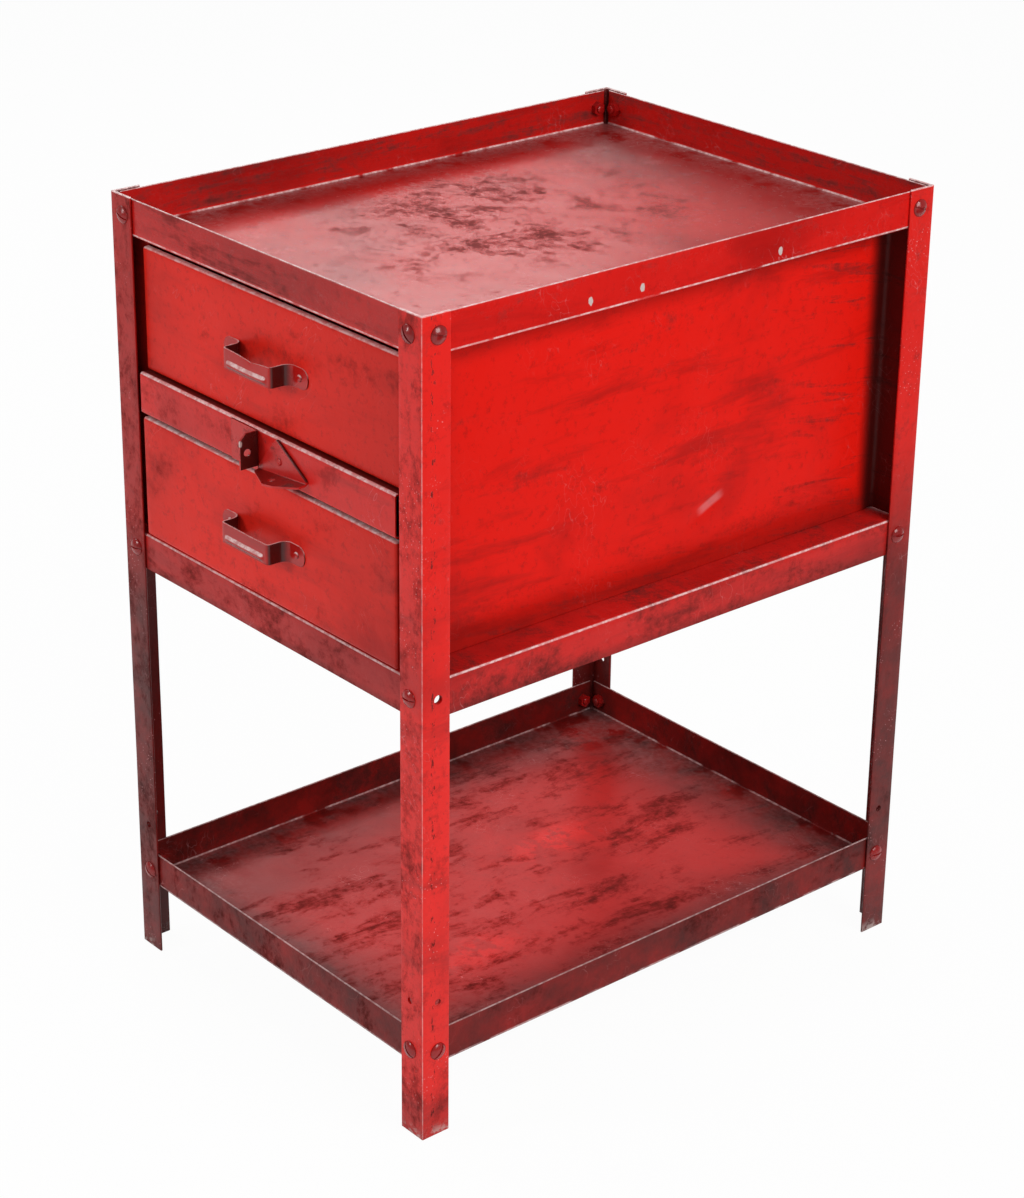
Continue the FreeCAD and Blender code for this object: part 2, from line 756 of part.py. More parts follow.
def copies(name, pattern, places):
    """A node of separate solids: the pattern's shape set at each place."""
    doc.recompute()
    group = doc.addObject("Part::Feature", name)
    group.Label = name
    solids = []
    for spot in places:
        solid = pattern.Shape.copy()
        solid.Placement = spot.multiply(solid.Placement)
        solids.append(solid)
    group.Shape = solids[0] if len(solids) == 1 else Part.makeCompound(solids)
    parts.append(group)
    return group


def facing(x, y, z, direction_from):
    """A place whose local +Z points along the given direction."""
    turn = FreeCAD.Rotation(FreeCAD.Vector(0, 0, 1), FreeCAD.Vector(*direction_from))
    return FreeCAD.Placement(FreeCAD.Vector(number_of(x), number_of(y), number_of(z)), turn)


def bolt_places(level, inward, left_out=()):
    """Both flanges of each leg at one level, moved inwards by a distance."""
    inset = size["bolt_inset"]
    spots = []
    for side in (-1, 1):
        for end in (-1, 1):
            across = (half_width - inset) * side
            along = middle_y + (half_depth - inset) * end
            if (side, end, "end") not in left_out:
                spots.append(facing(across, middle_y + (half_depth - inward) * end, level, (0, end, 0)))
            if (side, end, "side") not in left_out:
                spots.append(facing((half_width - inward) * side, along, level, (side, 0, 0)))
    return spots


def hex_nut():
    """A plain hexagon nut along Z, its outer face at zero. Used as a pattern for copies."""
    body = piece("nut_pattern")
    half_flat = size["nut_across_flats"] / 2
    corner = half_flat / math.cos(math.radians(30))
    sketch = new_sketch(body, "XY", -size["nut_height"])
    points = []
    for index in range(6):
        angle = math.radians(60 * index)
        points.append((corner * math.cos(angle), corner * math.sin(angle)))
    outline(sketch, points)
    circle(sketch, zero, zero, size["bolt_radius"] + size["nut_play"])
    pad(body, sketch, size["nut_height"])
    return body


def fasteners():
    """Bolts and nuts of the three pans. The front right leg has lost its middle side bolt."""
    bolt = domed_pin("bolt_pattern", size["bolt_head_radius"], size["bolt_head_height"],
                     size["bolt_head_edge"], size["bolt_radius"], size["bolt_length"])
    nut = hex_nut()
    seat = size["leg_thick"] + size["pan_sheet"]
    lost = ((1, -1, "side"),)
    rows = (("top_tray", tray_level + size["tray_bolt_rise"], ()),
            ("cabinet_base", size["base_level"] + size["base_bolt_rise"], lost),
            ("lower_shelf", size["shelf_level"] + size["shelf_bolt_rise"], ()))
    for name, level, left_out in rows:
        copies(name + "_bolts", bolt, bolt_places(level, zero, left_out))
        copies(name + "_nuts", nut, bolt_places(level, seat, left_out))


def riveted(name, head_height, head_radius, grip, tail_height, places):
    """Rivets with a low coned head, a shank through grip and a flat tail behind it."""
    body = piece(name + "_pattern")
    shank, tail = size["rivet_shank_radius"], size["rivet_tail_radius"]
    section = new_sketch(body, "XZ")
    outline(section, [(zero, -grip - tail_height), (tail, -grip - tail_height), (tail, -grip),
                      (shank, -grip), (shank, zero), (head_radius, zero),
                      (head_radius, size["rivet_head_edge"]),
                      (size["rivet_crown_radius"], head_height), (zero, head_height)])
    spin(body, section)
    return copies(name, body, places)


def pull_rivets(name, level, recess):
    """The two rivets of a pull, through its tabs, the front and the box."""
    grip = size["pull_sheet"] + size["front_sheet"] + size["box_sheet"]
    face = front_y + recess - size["pull_sheet"]
    places = [facing(size["pull_rivet_place"] * side, face, level + pull_level, (0, -1, 0))
              for side in (-1, 1)]
    riveted(name, size["rivet_head_height"], size["rivet_head_radius"], grip,
            size["rivet_tail_height"], places)


def latch_rivet():
    """The lock plate's pivot."""
    under = size["latch_gap"] + size["latch_sheet"] + size["latch_head_play"]
    spot = facing(size["latch_place"], front_y - under, rail_level + size["latch_rise"], (0, -1, 0))
    riveted("latch_rivet", size["latch_rivet_height"], size["latch_rivet_radius"],
            under + size["rail_sheet"], size["latch_tail_height"], [spot])


# Assembly

for across_name, side in (("left", -1), ("right", 1)):
    leg("leg_front_" + across_name, side, -1)
    leg("leg_rear_" + across_name, side, 1)
    side_panel("cabinet_side_" + across_name, side)
    runner("lower_runner_" + across_name, side, lower_front_level + size["box_lift"])
    runner("upper_runner_" + across_name, side, upper_front_level + size["box_lift"])

pan("top_tray", tray_level, size["tray_bolt_rise"], size["pan_corner_notch"], False)
pan("cabinet_base", size["base_level"], size["base_bolt_rise"], size["pan_corner_notch"], True)
pan("lower_shelf", size["shelf_level"], size["shelf_bolt_rise"], size["shelf_corner_notch"], False)
back_panel()
divider_rail()

for drawer, level, recess in (("upper", upper_front_level, size["closed_recess"]),
                              ("lower", lower_front_level, size["ajar_recess"])):
    drawer_front(drawer + "_drawer_front", level, recess)
    drawer_box(drawer + "_drawer_box", level, recess)
    drawer_pull(drawer + "_drawer_pull", level, recess)
    pull_rivets(drawer + "_drawer_pull_rivets", level, recess)

padlock_ear()
latch_plate()
latch_rivet()
fasteners()
doc.recompute()

# Every feature is whole, every cut removes something, and every sub-part is a valid shape
for item in doc.Objects:
    if "Invalid" in item.State or "Error" in item.State:
        raise RuntimeError(item.Name + " failed: " + ", ".join(item.State))
    if item.TypeId == "PartDesign::Pocket" and item.Shape.Volume >= item.BaseFeature.Shape.Volume - 1e-6:
        raise RuntimeError(item.Name + " cuts nothing")
for part in parts:
    if part.Shape.isNull() or not part.Shape.isValid():
        raise RuntimeError(part.Label + " is not a valid shape")

os.makedirs("parts", exist_ok=True)
for part in parts:
    part.Shape.exportStep("parts/" + part.Label + ".step")
    print("%-28s %d solid(s) %10.0f mm3" % (part.Label, len(part.Shape.Solids), part.Shape.Volume))
print("%d nodes" % len(parts))
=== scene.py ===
# %% [markdown]
# # A red steel tool stand
#
# This notebook dresses a finished model of a workshop tool stand: an open tray on top, two
# drawers with a turning lock plate between them, and an open shelf, bolted between four legs of
# angle iron. The model comes with its exact sizes and its moving bodies. What is added here is
# what an eye sees: sheet metal that isn't perfectly flat, pressed and slotted hardware, old
# gloss enamel with dark stains, rubbed edges and scratches, and the light of a photo studio.
# All lengths are in metres. X is to the right seen from the drawers, the drawers face -Y, Z is up.

# %% Load the model
import json
import math
import bmesh
import bpy
import numpy as np
from mathutils import Matrix, Vector


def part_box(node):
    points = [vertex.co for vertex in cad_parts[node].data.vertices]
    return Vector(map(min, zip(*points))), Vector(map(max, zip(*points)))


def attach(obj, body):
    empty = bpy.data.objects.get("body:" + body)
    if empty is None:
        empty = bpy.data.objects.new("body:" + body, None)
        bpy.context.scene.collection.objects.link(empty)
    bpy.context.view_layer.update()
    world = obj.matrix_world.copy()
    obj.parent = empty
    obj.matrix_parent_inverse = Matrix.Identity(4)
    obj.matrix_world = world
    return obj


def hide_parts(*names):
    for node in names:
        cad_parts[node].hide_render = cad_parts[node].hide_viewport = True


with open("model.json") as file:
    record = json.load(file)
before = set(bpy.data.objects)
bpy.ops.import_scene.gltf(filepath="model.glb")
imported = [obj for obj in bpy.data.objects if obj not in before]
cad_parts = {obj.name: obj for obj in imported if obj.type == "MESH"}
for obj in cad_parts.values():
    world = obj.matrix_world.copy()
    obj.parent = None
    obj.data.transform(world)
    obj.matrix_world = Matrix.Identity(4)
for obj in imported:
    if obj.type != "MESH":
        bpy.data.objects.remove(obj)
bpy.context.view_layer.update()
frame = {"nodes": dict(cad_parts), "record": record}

# %% [markdown]
# ## The camera
#
# The photograph looks down on the stand from its front right corner. A camera is a place, a point
# that it looks at, a lens, and here a slight roll. A long lens from a few steps back keeps the
# upright legs almost parallel. The lens is given for a picture 1024 wide and 1198 high.

# %% Camera
FRAME_HEIGHT_PX = 1198
FOCAL_PX = 2909.1
AXIS_ABOVE_MIDDLE_PX = 59.0
CAMERA_PLACE = Vector((1.9847, -1.6975, 1.5707))
LOOKS_AT = Vector((-0.0155, 0.0110, 0.4370))
CAMERA_ROLL = 0.0122
SENSOR = 36.0


def shown(name, data):
    """A new object for a mesh, a lamp or a camera, put into the scene."""
    made = bpy.data.objects.new(name, data)
    bpy.context.scene.collection.objects.link(made)
    return made


def studio_camera():
    """A camera whose three axes are: away from the target, level to the right, and up."""
    back = (CAMERA_PLACE - LOOKS_AT).normalized()
    right = Vector((0, 0, 1)).cross(back).normalized()
    up = back.cross(right)
    turned_right = right * math.cos(CAMERA_ROLL) + up * math.sin(CAMERA_ROLL)
    turned_up = up * math.cos(CAMERA_ROLL) - right * math.sin(CAMERA_ROLL)
    data = bpy.data.cameras.new("camera")
    data.sensor_fit = "VERTICAL"
    data.sensor_height = SENSOR
    data.lens = FOCAL_PX / FRAME_HEIGHT_PX * data.sensor_height
    data.shift_y = -AXIS_ABOVE_MIDDLE_PX / FRAME_HEIGHT_PX
    camera = shown("camera", data)
    axes = Matrix((turned_right, turned_up, back)).transposed()
    camera.matrix_world = Matrix.Translation(CAMERA_PLACE) @ axes.to_4x4()
    bpy.context.scene.camera = camera
    return camera


camera = studio_camera()
print("lens %.1f mm, shift %.3f" % (camera.data.lens, camera.data.shift_y))

# %% [markdown]
# ## Nodes
#
# Materials and the world are graphs of nodes. Two helpers shorten the writing: add_node makes a
# node with its settings and inputs, and a Value is a number that a node hands on. Values take the
# signs of arithmetic, so that a * b multiplies two of them, and a | b keeps the larger.

# %% Nodes and what they hand on
def join(tree, value, socket):
    """Connect an output, or write a plain number or colour."""
    value = value.socket if isinstance(value, Value) else value
    if isinstance(value, bpy.types.NodeSocket):
        tree.links.new(value, socket)
    elif isinstance(value, (tuple, list)) and len(value) == 3 and socket.type == "RGBA":
        socket.default_value = tuple(value) + (1,)
    else:
        socket.default_value = value


def add_node(tree, kind, inputs=(), **settings):
    """A new node. inputs maps the names or numbers of its sockets to what they get."""
    made = tree.nodes.new("ShaderNode" + kind)
    for name, setting in settings.items():
        setattr(made, name, setting)
    for name, value in dict(inputs).items():
        join(tree, value, made.inputs[name])
    return made


class Value:
    """A number at each point of the surface."""

    def __init__(self, tree, socket):
        self.tree, self.socket = tree, socket

    def step(self, operation, other=0.0):
        """The output of one more node of arithmetic."""
        node = add_node(self.tree, "Math", {0: self, 1: other}, operation=operation)
        return Value(self.tree, node.outputs[0])

    def __mul__(self, other):
        return self.step("MULTIPLY", other)

    def __add__(self, other):
        return self.step("ADD", other)

    def __sub__(self, other):
        return self.step("SUBTRACT", other)

    def __or__(self, other):
        return self.step("MAXIMUM", other)

    def __abs__(self):
        return self.step("ABSOLUTE")


print("values take *, +, -, | and abs")

# %% [markdown]
# ## Floor, background and lamps
#
# The stand was photographed on plain white. The floor is white paint that also shows a share of
# plain white to the camera and to mirrors, so that it looks bright but still keeps the stand's
# shadow. The world does the same for everything round the stand, but reflections find it nearly
# black, as in a studio whose walls stand far off. The lamps are soft boxes: a key light on the right side, a narrow
# one in front of the drawers, and one high on the left that draws the bright lines along the upper
# edges. The fourth stands behind the stand, where the tray's floor mirrors it as a pale sheen.

# %% Floor and world
FLOOR_HALF = 6.0
FLOOR_SHARE_OF_WHITE = 0.965
WORLD_FILL = 0.30
FLOOR_IN_GLOSS, WALLS_IN_GLOSS = 0.62, 0.05
FLOOR_GREY = (0.86, 0.86, 0.86)


def seen_directly(tree, in_gloss):
    """A value that is 1 for rays of the camera and of glass, in_gloss for reflections, else 0."""
    path = add_node(tree, "LightPath").outputs
    camera_ray, glossy_ray, glass_ray = (Value(tree, path["Is %s Ray" % kind])
                                         for kind in ("Camera", "Glossy", "Transmission"))
    return camera_ray | glossy_ray * in_gloss | glass_ray


def stage_sheet(name, paint_name, corners, level):
    """A flat sheet of the studio through four corners, and the nodes of its paint."""
    mesh = bpy.data.meshes.new(name)
    mesh.from_pydata([(x, y, level) for x, y in corners], [], [(0, 1, 2, 3)])
    paint = bpy.data.materials.new(paint_name)
    paint.use_nodes = True
    mesh.materials.append(paint)
    sheet = shown(name, mesh)
    return sheet, paint.node_tree


def white_floor(half):
    """A flat square of matt white, mixed with plain white for the rays that see it directly."""
    _, tree = stage_sheet("floor", "floor_white", [(-half, -half), (half, -half), (half, half), (-half, half)], 0.0)
    tree.nodes.clear()
    matt = add_node(tree, "BsdfDiffuse", {"Color": FLOOR_GREY})
    glow = add_node(tree, "Emission")
    share = seen_directly(tree, FLOOR_IN_GLOSS) * FLOOR_SHARE_OF_WHITE
    mix = add_node(tree, "MixShader", {0: share, 1: matt.outputs[0], 2: glow.outputs[0]})
    add_node(tree, "OutputMaterial", {"Surface": mix.outputs[0]})


def white_world():
    """White to the camera, nearly black to reflections, and a grey fill for matt surfaces."""
    world = bpy.data.worlds.new("studio")
    bpy.context.scene.world = world
    world.use_nodes = True
    tree = world.node_tree
    level = add_node(tree, "MapRange", {"Value": seen_directly(tree, WALLS_IN_GLOSS),
                                        "To Min": WORLD_FILL, "To Max": 1.0})
    join(tree, level.outputs[0], tree.nodes["Background"].inputs["Strength"])
    join(tree, (1, 1, 1), tree.nodes["Background"].inputs["Color"])


white_floor(FLOOR_HALF)
white_world()
scene = bpy.context.scene
scene.view_settings.view_transform = "Standard"
print("floor %.0f m across, world fill %.2f" % (2 * FLOOR_HALF, WORLD_FILL))

# %% Lamps
LAMPS = {
    # name: place, point lit, width, height, watts
    "key_right": ((2.6, 0.3, 1.9), (0.2, 0.05, 0.50), 1.6, 1.6, 54.0),
    "front_fill": ((-0.9, -2.6, 1.7), (-0.1, -0.3, 0.5), 0.5, 1.2, 24.0),
    "upper_left": ((-2.0, -0.5, 2.5), (0.0, 0.0, 0.6), 0.7, 0.9, 13.0),
    "rear_sheen": ((-2.85, 1.70, 2.62), (0.0, 0.0, 0.75), 1.7, 1.2, 27.0),
}


def soft_box(name, place, target, width, height, watts):
    """A rectangular lamp that faces a point."""
    data = bpy.data.lights.new(name, "AREA")
    data.shape = "RECTANGLE"
    data.size, data.size_y = width, height
    data.energy = watts
    lamp = shown(name, data)
    lamp.location = place
    facing = Vector(target) - Vector(place)
    lamp.rotation_euler = facing.to_track_quat("-Z", "Y").to_euler()


for lamp_name, lamp_facts in LAMPS.items():
    soft_box(lamp_name, *lamp_facts)
print("lamps:", ", ".join(LAMPS))

# %% [markdown]
# Gloss on the right side would mirror the white floor there and turn the red chalky. Photographers
# lay a black card on the floor to stop that. This one can't be seen by the camera and throws no
# shadow; only reflections and soft bounced light know of it.

# %% Black card
CARD_LEVEL, CARD_BLACK = 0.002, (0.02, 0.02, 0.02)
CARD_LEFT, CARD_RIGHT, CARD_FRONT, CARD_BACK = 1.0, 3.2, -0.25, 3.6


def black_card():
    """A dark sheet just above the floor."""
    corners = [(CARD_LEFT, CARD_FRONT), (CARD_RIGHT, CARD_FRONT), (CARD_RIGHT, CARD_BACK), (CARD_LEFT, CARD_BACK)]
    card, tree = stage_sheet("black_card", "card_black", corners, CARD_LEVEL)
    join(tree, CARD_BLACK, tree.nodes["Principled BSDF"].inputs["Base Color"])
    join(tree, 1.0, tree.nodes["Principled BSDF"].inputs["Roughness"])
    card.visible_camera = False
    card.visible_shadow = False


black_card()
print("the card covers the floor to the right and behind")

# %% [markdown]
# ## Old gloss enamel
#
# Every piece wears the same red paint, but each has aged in its own way. A finish is built in
# layers, most of them as the real one grew: clean red, slow drifts of a darker red, dark stains,
# painted shade in corners, at ends and underneath, pale edges that are partly rubbed paint and
# partly painted highlight, thin scratches, and chips.
# Each layer is a mask between 0 and 1 made of noise, measured in metres on the object itself, so
# that it stays in its place when the stand is turned. A Recipe adds such nodes to one material.

# %% A short way to write paints
class Recipe:
    """One material and the nodes that colour it. Each method adds a node and hands on its output."""

    def __init__(self, name):
        self.material = bpy.data.materials.new(name)
        self.material.use_nodes = True
        self.tree = self.material.node_tree
        self.shader = self.tree.nodes["Principled BSDF"].inputs
        self.here = self.node("TexCoord").outputs["Object"]
        self.x, self.y, self.z = self.parts_of(self.here)
        self.faces_x, self.faces_y, self.faces_z = self.parts_of(self.node("TexCoord").outputs["Normal"])

    def node(self, kind, inputs=(), **settings):
        return add_node(self.tree, kind, inputs, **settings)

    def parts_of(self, vector):
        """The three numbers of a place, or of the way that the surface faces (-1 to 1)."""
        return [Value(self.tree, part) for part in self.node("SeparateXYZ", {0: vector}).outputs]

    def ramp(self, value, low, high, start=0.0, end=1.0):
        """start below low, end above high, and a smooth rise between."""
        inputs = enumerate((value, low, high, start, end))
        return Value(self.tree, self.node("MapRange", inputs, interpolation_type="SMOOTHSTEP").outputs[0])

    def near(self, value, place, reach):
        """1 where value is at place, falling to 0 at reach on either side."""
        return self.ramp(abs(value - place), reach * 0.4, reach, 1.0, 0.0)

    def spread(self, stretch=(1, 1, 1), turn=(0, 0, 0), shift=(0, 0, 0)):
        """The position, turned and then stretched: 3 along an axis makes a pattern 3 times finer."""
        moved = self.node("Mapping", {"Vector": self.here, "Rotation": turn, "Location": shift})
        return self.node("Mapping", {"Vector": moved.outputs[0], "Scale": stretch}).outputs[0]

    def noise(self, per_metre, detail=4.0, rough=0.6, point=None, wobble=0.0):
        """Cloudy noise around 0.5, with so many clouds to a metre."""
        cloud = self.node("TexNoise", {"Vector": point or self.here, "Scale": per_metre, "Detail": detail,
                                       "Roughness": rough, "Distortion": wobble})
        return Value(self.tree, cloud.outputs["Fac"])

    def cells(self, per_metre, point):
        """The distance to the nearest of scattered points."""
        scatter = self.node("TexVoronoi", {"Vector": point, "Scale": per_metre})
        return Value(self.tree, scatter.outputs["Distance"])

    def spot(self, centre, radii, wobble, sharp):
        """1 at a place on the object, falling to 0 at the radii. wobble breaks up the outline."""
        scale = [1.0 / r for r in radii]
        shift = [-c * s for c, s in zip(centre, scale)]
        around = self.node("Mapping", {"Vector": self.here, "Scale": scale, "Location": shift})
        length = self.node("VectorMath", {0: around.outputs[0]}, operation="LENGTH").outputs["Value"]
        cloud = self.noise(9.0 / max(radii) * 0.25, 5.0, 0.65) - 0.5
        return self.ramp(cloud * wobble + length, 1.0 - sharp, 1.0, 1.0, 0.0)

    def blend(self, share, first, second):
        """The first colour where share is 0 and the second where it is 1."""
        return self.node("Mix", {"Factor": share, "A": first, "B": second}, data_type="RGBA").outputs["Result"]

    def bump(self, height, depth, under=None):
        """Relief of a given depth in metres over the relief under it."""
        relief = self.node("Bump", {"Strength": 1.0, "Distance": depth, "Height": height})
        if under:
            join(self.tree, under, relief.inputs["Normal"])
        return relief.outputs[0]


print("recipes are written with", len([m for m in vars(Recipe) if m[0] != "_"]), "kinds of step")

# %% [markdown]
# The layers that every red piece shares. Scratches are noise stretched into needles: sharp across
# and long along. Where the stretched noise crosses its middle value it draws a thin line, and a
# slow cloud decides where scratches gather at all. Grime is a cloud pushed through a ramp: a steep
# one gives islands with crisp edges, a slow one soft drifts. The paint itself is plain in one
# place and mottled in another, rougher where it is dirty, and its gloss shows three depths of
# relief: the grain of the brush, a slow wave, and the scratches.

# %% Layers of the paint
CLEAN_RED, DEEP_RED, DARK_RED = (0.84, 0.012, 0.007), (0.40, 0.006, 0.005), (0.15, 0.005, 0.005)
# The colour of painted shade is the last one on this line.
SOIL, SHADE = (0.085, 0.011, 0.009), (0.045, 0.006, 0.005)
# The rubbed pink stands both for rubbed paint and for painted highlight on edges and folds.
PALE_PINK, RUBBED_AND_HIGHLIGHT_PINK, BARE_CHIP = (0.74, 0.34, 0.35), (0.92, 0.66, 0.65), (0.62, 0.50, 0.47)
GRAIN_DEPTH, SCRATCH_DEPTH = 0.00016, 0.00008


def scratches(recipe, turn, per_metre=7.0, fine=110.0):
    """Thin lines along the turned X axis, gathered where a slow cloud is high."""
    needles = recipe.spread((per_metre, fine, fine), turn)
    line = abs(recipe.noise(1.0, 1.0, 0.4, needles) - 0.5)
    where = recipe.ramp(recipe.noise(13.0, 3.0, 0.6, recipe.spread(shift=turn)), 0.56, 0.70)
    return recipe.ramp(line, 0.0, 0.010, 1.0, 0.0) * where


def grime(recipe, per_metre, low, high, shift=0.0, detail=8.0, rough=0.68, stretch=(1, 1, 1)):
    """Ragged stains: none where the cloud is under low, full where it is over high."""
    place = recipe.spread(stretch, shift=(shift, shift * 1.7, -shift))
    return recipe.ramp(recipe.noise(per_metre, detail, rough, place, 0.3), low, high)


def speckle(recipe, per_metre, size, shift):
    """Small scattered dots."""
    return recipe.ramp(recipe.cells(per_metre, recipe.spread(shift=(shift, shift, shift))),
                       size * 0.6, size, 1.0, 0.0)


print("paint layers: scratches, grime, speckle")


# %% The paint
def enamel(name, red=CLEAN_RED, deep=DEEP_RED, dark=0.3, stain=0.25, streaks=0.45, along=(1, 1, 7),
           gloss=0.30, specular=0.4, places=None, wave=0.0010, lines=0.30, soil=SOIL):
    """A red paint. dark and stain are the shares of deeper red and of dark stain, along stretches
    the streaks, lines is the strength of the scratches, and places gives masks for this piece's
    own marks: clean, soot, shade, pale, worn and chip, laid on in that order. shade is painted
    shade, and pale and worn carry painted highlights as well as pale specks and rubbed paint."""
    recipe = Recipe(name)
    marks = places(recipe) if places else {}
    drift = grime(recipe, 5.0, 0.62 - dark * 0.5, 0.80 - dark * 0.3, 1.3, 5.0, 0.55)
    streak = grime(recipe, 3.0, 0.60 - dark * 0.4, 0.78 - dark * 0.3, 4.1, 6.0, 0.65, along)
    colour = recipe.blend(drift * 0.75, red, deep)
    colour = recipe.blend(streak * streaks, colour, DARK_RED)
    mottle = recipe.noise(120.0, 5.0, 0.75) - 0.5
    colour = recipe.blend(recipe.ramp(mottle, 0.02, 0.22, 0.0, 0.55), colour, deep)
    if "clean" in marks:
        colour = recipe.blend(marks["clean"], colour, CLEAN_RED)
    islands = grime(recipe, 16.0, 0.66 - stain * 0.4, 0.74 - stain * 0.3, 7.7)
    fine = grime(recipe, 70.0, 0.60 - stain * 0.2, 0.70 - stain * 0.2, 2.9)
    soot = islands * (fine * 0.6 + 0.4)
    if "soot" in marks:
        ragged = recipe.noise(85.0, 5.0, 0.75) * 1.3 - 0.65
        own = marks["soot"] + ragged * recipe.ramp(marks["soot"], 0.0, 0.25)
        soot = soot | recipe.ramp(own, 0.15, 0.95)
    colour = recipe.blend(soot * 0.85, colour, soil)
    # Painted shade: dark red is blended in where a piece's marks say that it is out of the light.
    if "shade" in marks:
        colour = recipe.blend(marks["shade"], colour, SHADE)
    if "pale" in marks:
        colour = recipe.blend(marks["pale"], colour, PALE_PINK)
    # Pale edges: rubbed paint, and painted highlight where edges and folds would catch the lamps.
    if "worn_and_highlight" in marks:
        broken = recipe.ramp(recipe.noise(160.0, 4.0, 0.7), 0.42, 0.60)
        colour = recipe.blend(marks["worn_and_highlight"] * (broken * 0.5 + 0.45), colour, RUBBED_AND_HIGHLIGHT_PINK)
    if "chip" in marks:
        colour = recipe.blend(marks["chip"], colour, BARE_CHIP)
    marked = scratches(recipe, (0.3, 0.9, 0.5)) | scratches(recipe, (1.2, 0.2, 2.2), 5.0, 140.0)
    colour = recipe.blend(marked * lines, colour, PALE_PINK)
    join(recipe.tree, colour, recipe.shader["Base Color"])
    rough = recipe.noise(22.0, 6.0, 0.7) * 0.22 + (gloss - 0.08)
    join(recipe.tree, soot * 0.55 + rough, recipe.shader["Roughness"])
    join(recipe.tree, specular, recipe.shader["Specular IOR Level"])
    relief = recipe.bump(recipe.noise(240.0, 3.0, 0.6), GRAIN_DEPTH)
    relief = recipe.bump(recipe.noise(18.0, 2.0, 0.5), wave, relief)
    relief = recipe.bump(marked * -0.6 + soot, SCRATCH_DEPTH, relief)
    join(recipe.tree, relief, recipe.shader["Normal"])
    return recipe.material


print("one paint, with marks of its own for each kind of piece")

# %% [markdown]
# ## One finish for each kind of piece
#
# The recipe above knows how old enamel looks, but not where it is dirty or where painted light
# goes. That is told by marks: masks made of the position and of the way the surface faces. Dust
# lies in the tray's corners, painted shade falls in corners, underneath, at the panel's ends and
# along the legs, edges and folds are pale with rubbed paint and painted highlight, and the shelf
# has bright patches where its dirt was wiped away.

# %% Places that the marks go by
TRAY_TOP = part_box("top_tray")[1][2]
TRAY_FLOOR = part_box("top_tray")[0][2] + 0.0015
BASE_TOP, BASE_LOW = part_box("cabinet_base")[1][2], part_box("cabinet_base")[0][2]
SHELF_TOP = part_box("lower_shelf")[1][2]
SHELF_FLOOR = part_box("lower_shelf")[0][2] + 0.0015
HALF_WIDTH, FRONT_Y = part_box("top_tray")[1][0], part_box("top_tray")[0][1]
LEG_TOP, LEG_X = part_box("leg_rear_right")[1][2], round(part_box("leg_rear_right")[1][0], 6)
LEG_FRONT, LEG_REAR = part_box("leg_front_right")[0][1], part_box("leg_rear_right")[1][1]
MIDDLE_Y, LEG_Y = round((LEG_FRONT + LEG_REAR) / 2, 6), round((LEG_REAR - LEG_FRONT) / 2, 6)
DENT_PLACE, DENT_LEAN = (0.072, 0.524), 0.42      # on the right side panel, in (y, z)
CHIPS_ALONG, CHIP_LEVEL = (-0.111, -0.051, 0.118), 0.774
LOCK_SLOPE_AT, LOCK_SLOPE = (0.0290, 0.6311), -0.5536


def turned(first, second, centre, angle):
    """The distances along and across a line through centre that rises by angle."""
    out, up = first - centre[0], second - centre[1]
    along = out * math.cos(angle) + up * math.sin(angle)
    return along, up * math.cos(angle) - out * math.sin(angle)


print("middle of the legs at y = %.5f, their faces %.3f and %.3f from it" % (MIDDLE_Y, LEG_X, LEG_Y))


# %% Marks of the tray and the shelf
def tray_marks(recipe):
    """A stain in the floor's middle, dust all over it, dirt and painted shade on the rims, painted
    shade towards the floor's far, left and right rear sides, pale folds and top edges of rubbed
    paint and painted highlight, and three oval chips on the right rim."""
    floor = recipe.ramp(recipe.z, TRAY_FLOOR + 0.0005, TRAY_FLOOR + 0.002, 1.0, 0.0)
    area = recipe.spot((-0.03, 0.01, TRAY_FLOOR), (0.21, 0.29, 0.2), 0.8, 0.6)
    grains = grime(recipe, 110.0, 0.34, 0.56, 1.9, 4.0, 0.8) * 0.5 + 0.5
    stain = area * grime(recipe, 15.0, 0.42, 0.62, 3.3, 9.0, 0.80) * grains
    dust = grime(recipe, 80.0, 0.56, 0.66, 9.1, 6.0, 0.7) * 0.5
    inside = (recipe.ramp(abs(recipe.x), HALF_WIDTH - 0.0012, HALF_WIDTH - 0.0008, 1.0, 0.0)
              * recipe.ramp(recipe.z, TRAY_FLOOR + 0.002, TRAY_FLOOR + 0.004))
    inner_dirt = inside * grime(recipe, 8.0, 0.34, 0.74, 6.1, 7.0, 0.7, (1, 1, 9))
    rim_dirt = (recipe.ramp(recipe.z, TRAY_FLOOR, TRAY_FLOOR + 0.004)
                * grime(recipe, 10.0, 0.40, 0.76, 4.7, 7.0, 0.72, (1, 1, 3)))
    # Painted shade: the floor darker towards its far, left and right rear sides, and the rims' inner faces a little
    # darker.
    far = recipe.ramp(recipe.y, 0.14, 0.305, 0.0, 0.60) | recipe.ramp(recipe.x, -0.222, -0.150, 0.55, 0.0)
    right = recipe.ramp(recipe.x, 0.17, 0.222, 0.0, 0.30) * recipe.ramp(recipe.y, -0.1, 0.2)
    fold = recipe.near(recipe.z, TRAY_FLOOR + 0.0010, 0.0012)
    fold = fold * recipe.ramp(recipe.noise(30.0, 3.0, 0.6), 0.35, 0.5)
    first, second, third = (recipe.spot((HALF_WIDTH, along, CHIP_LEVEL), (0.01, 0.0030, 0.0046), 0.9, 0.25)
                            for along in CHIPS_ALONG)
    return dict(soot=floor * (stain * 0.9 | dust) | inner_dirt * 0.8 | rim_dirt * 0.5,
                shade=floor * (far | right) | inside * 0.22,
                # top edges and folds: rubbed paint and painted highlight
                worn_and_highlight=recipe.near(recipe.z, TRAY_TOP, 0.0009) | fold * 0.9, chip=first | second | third)


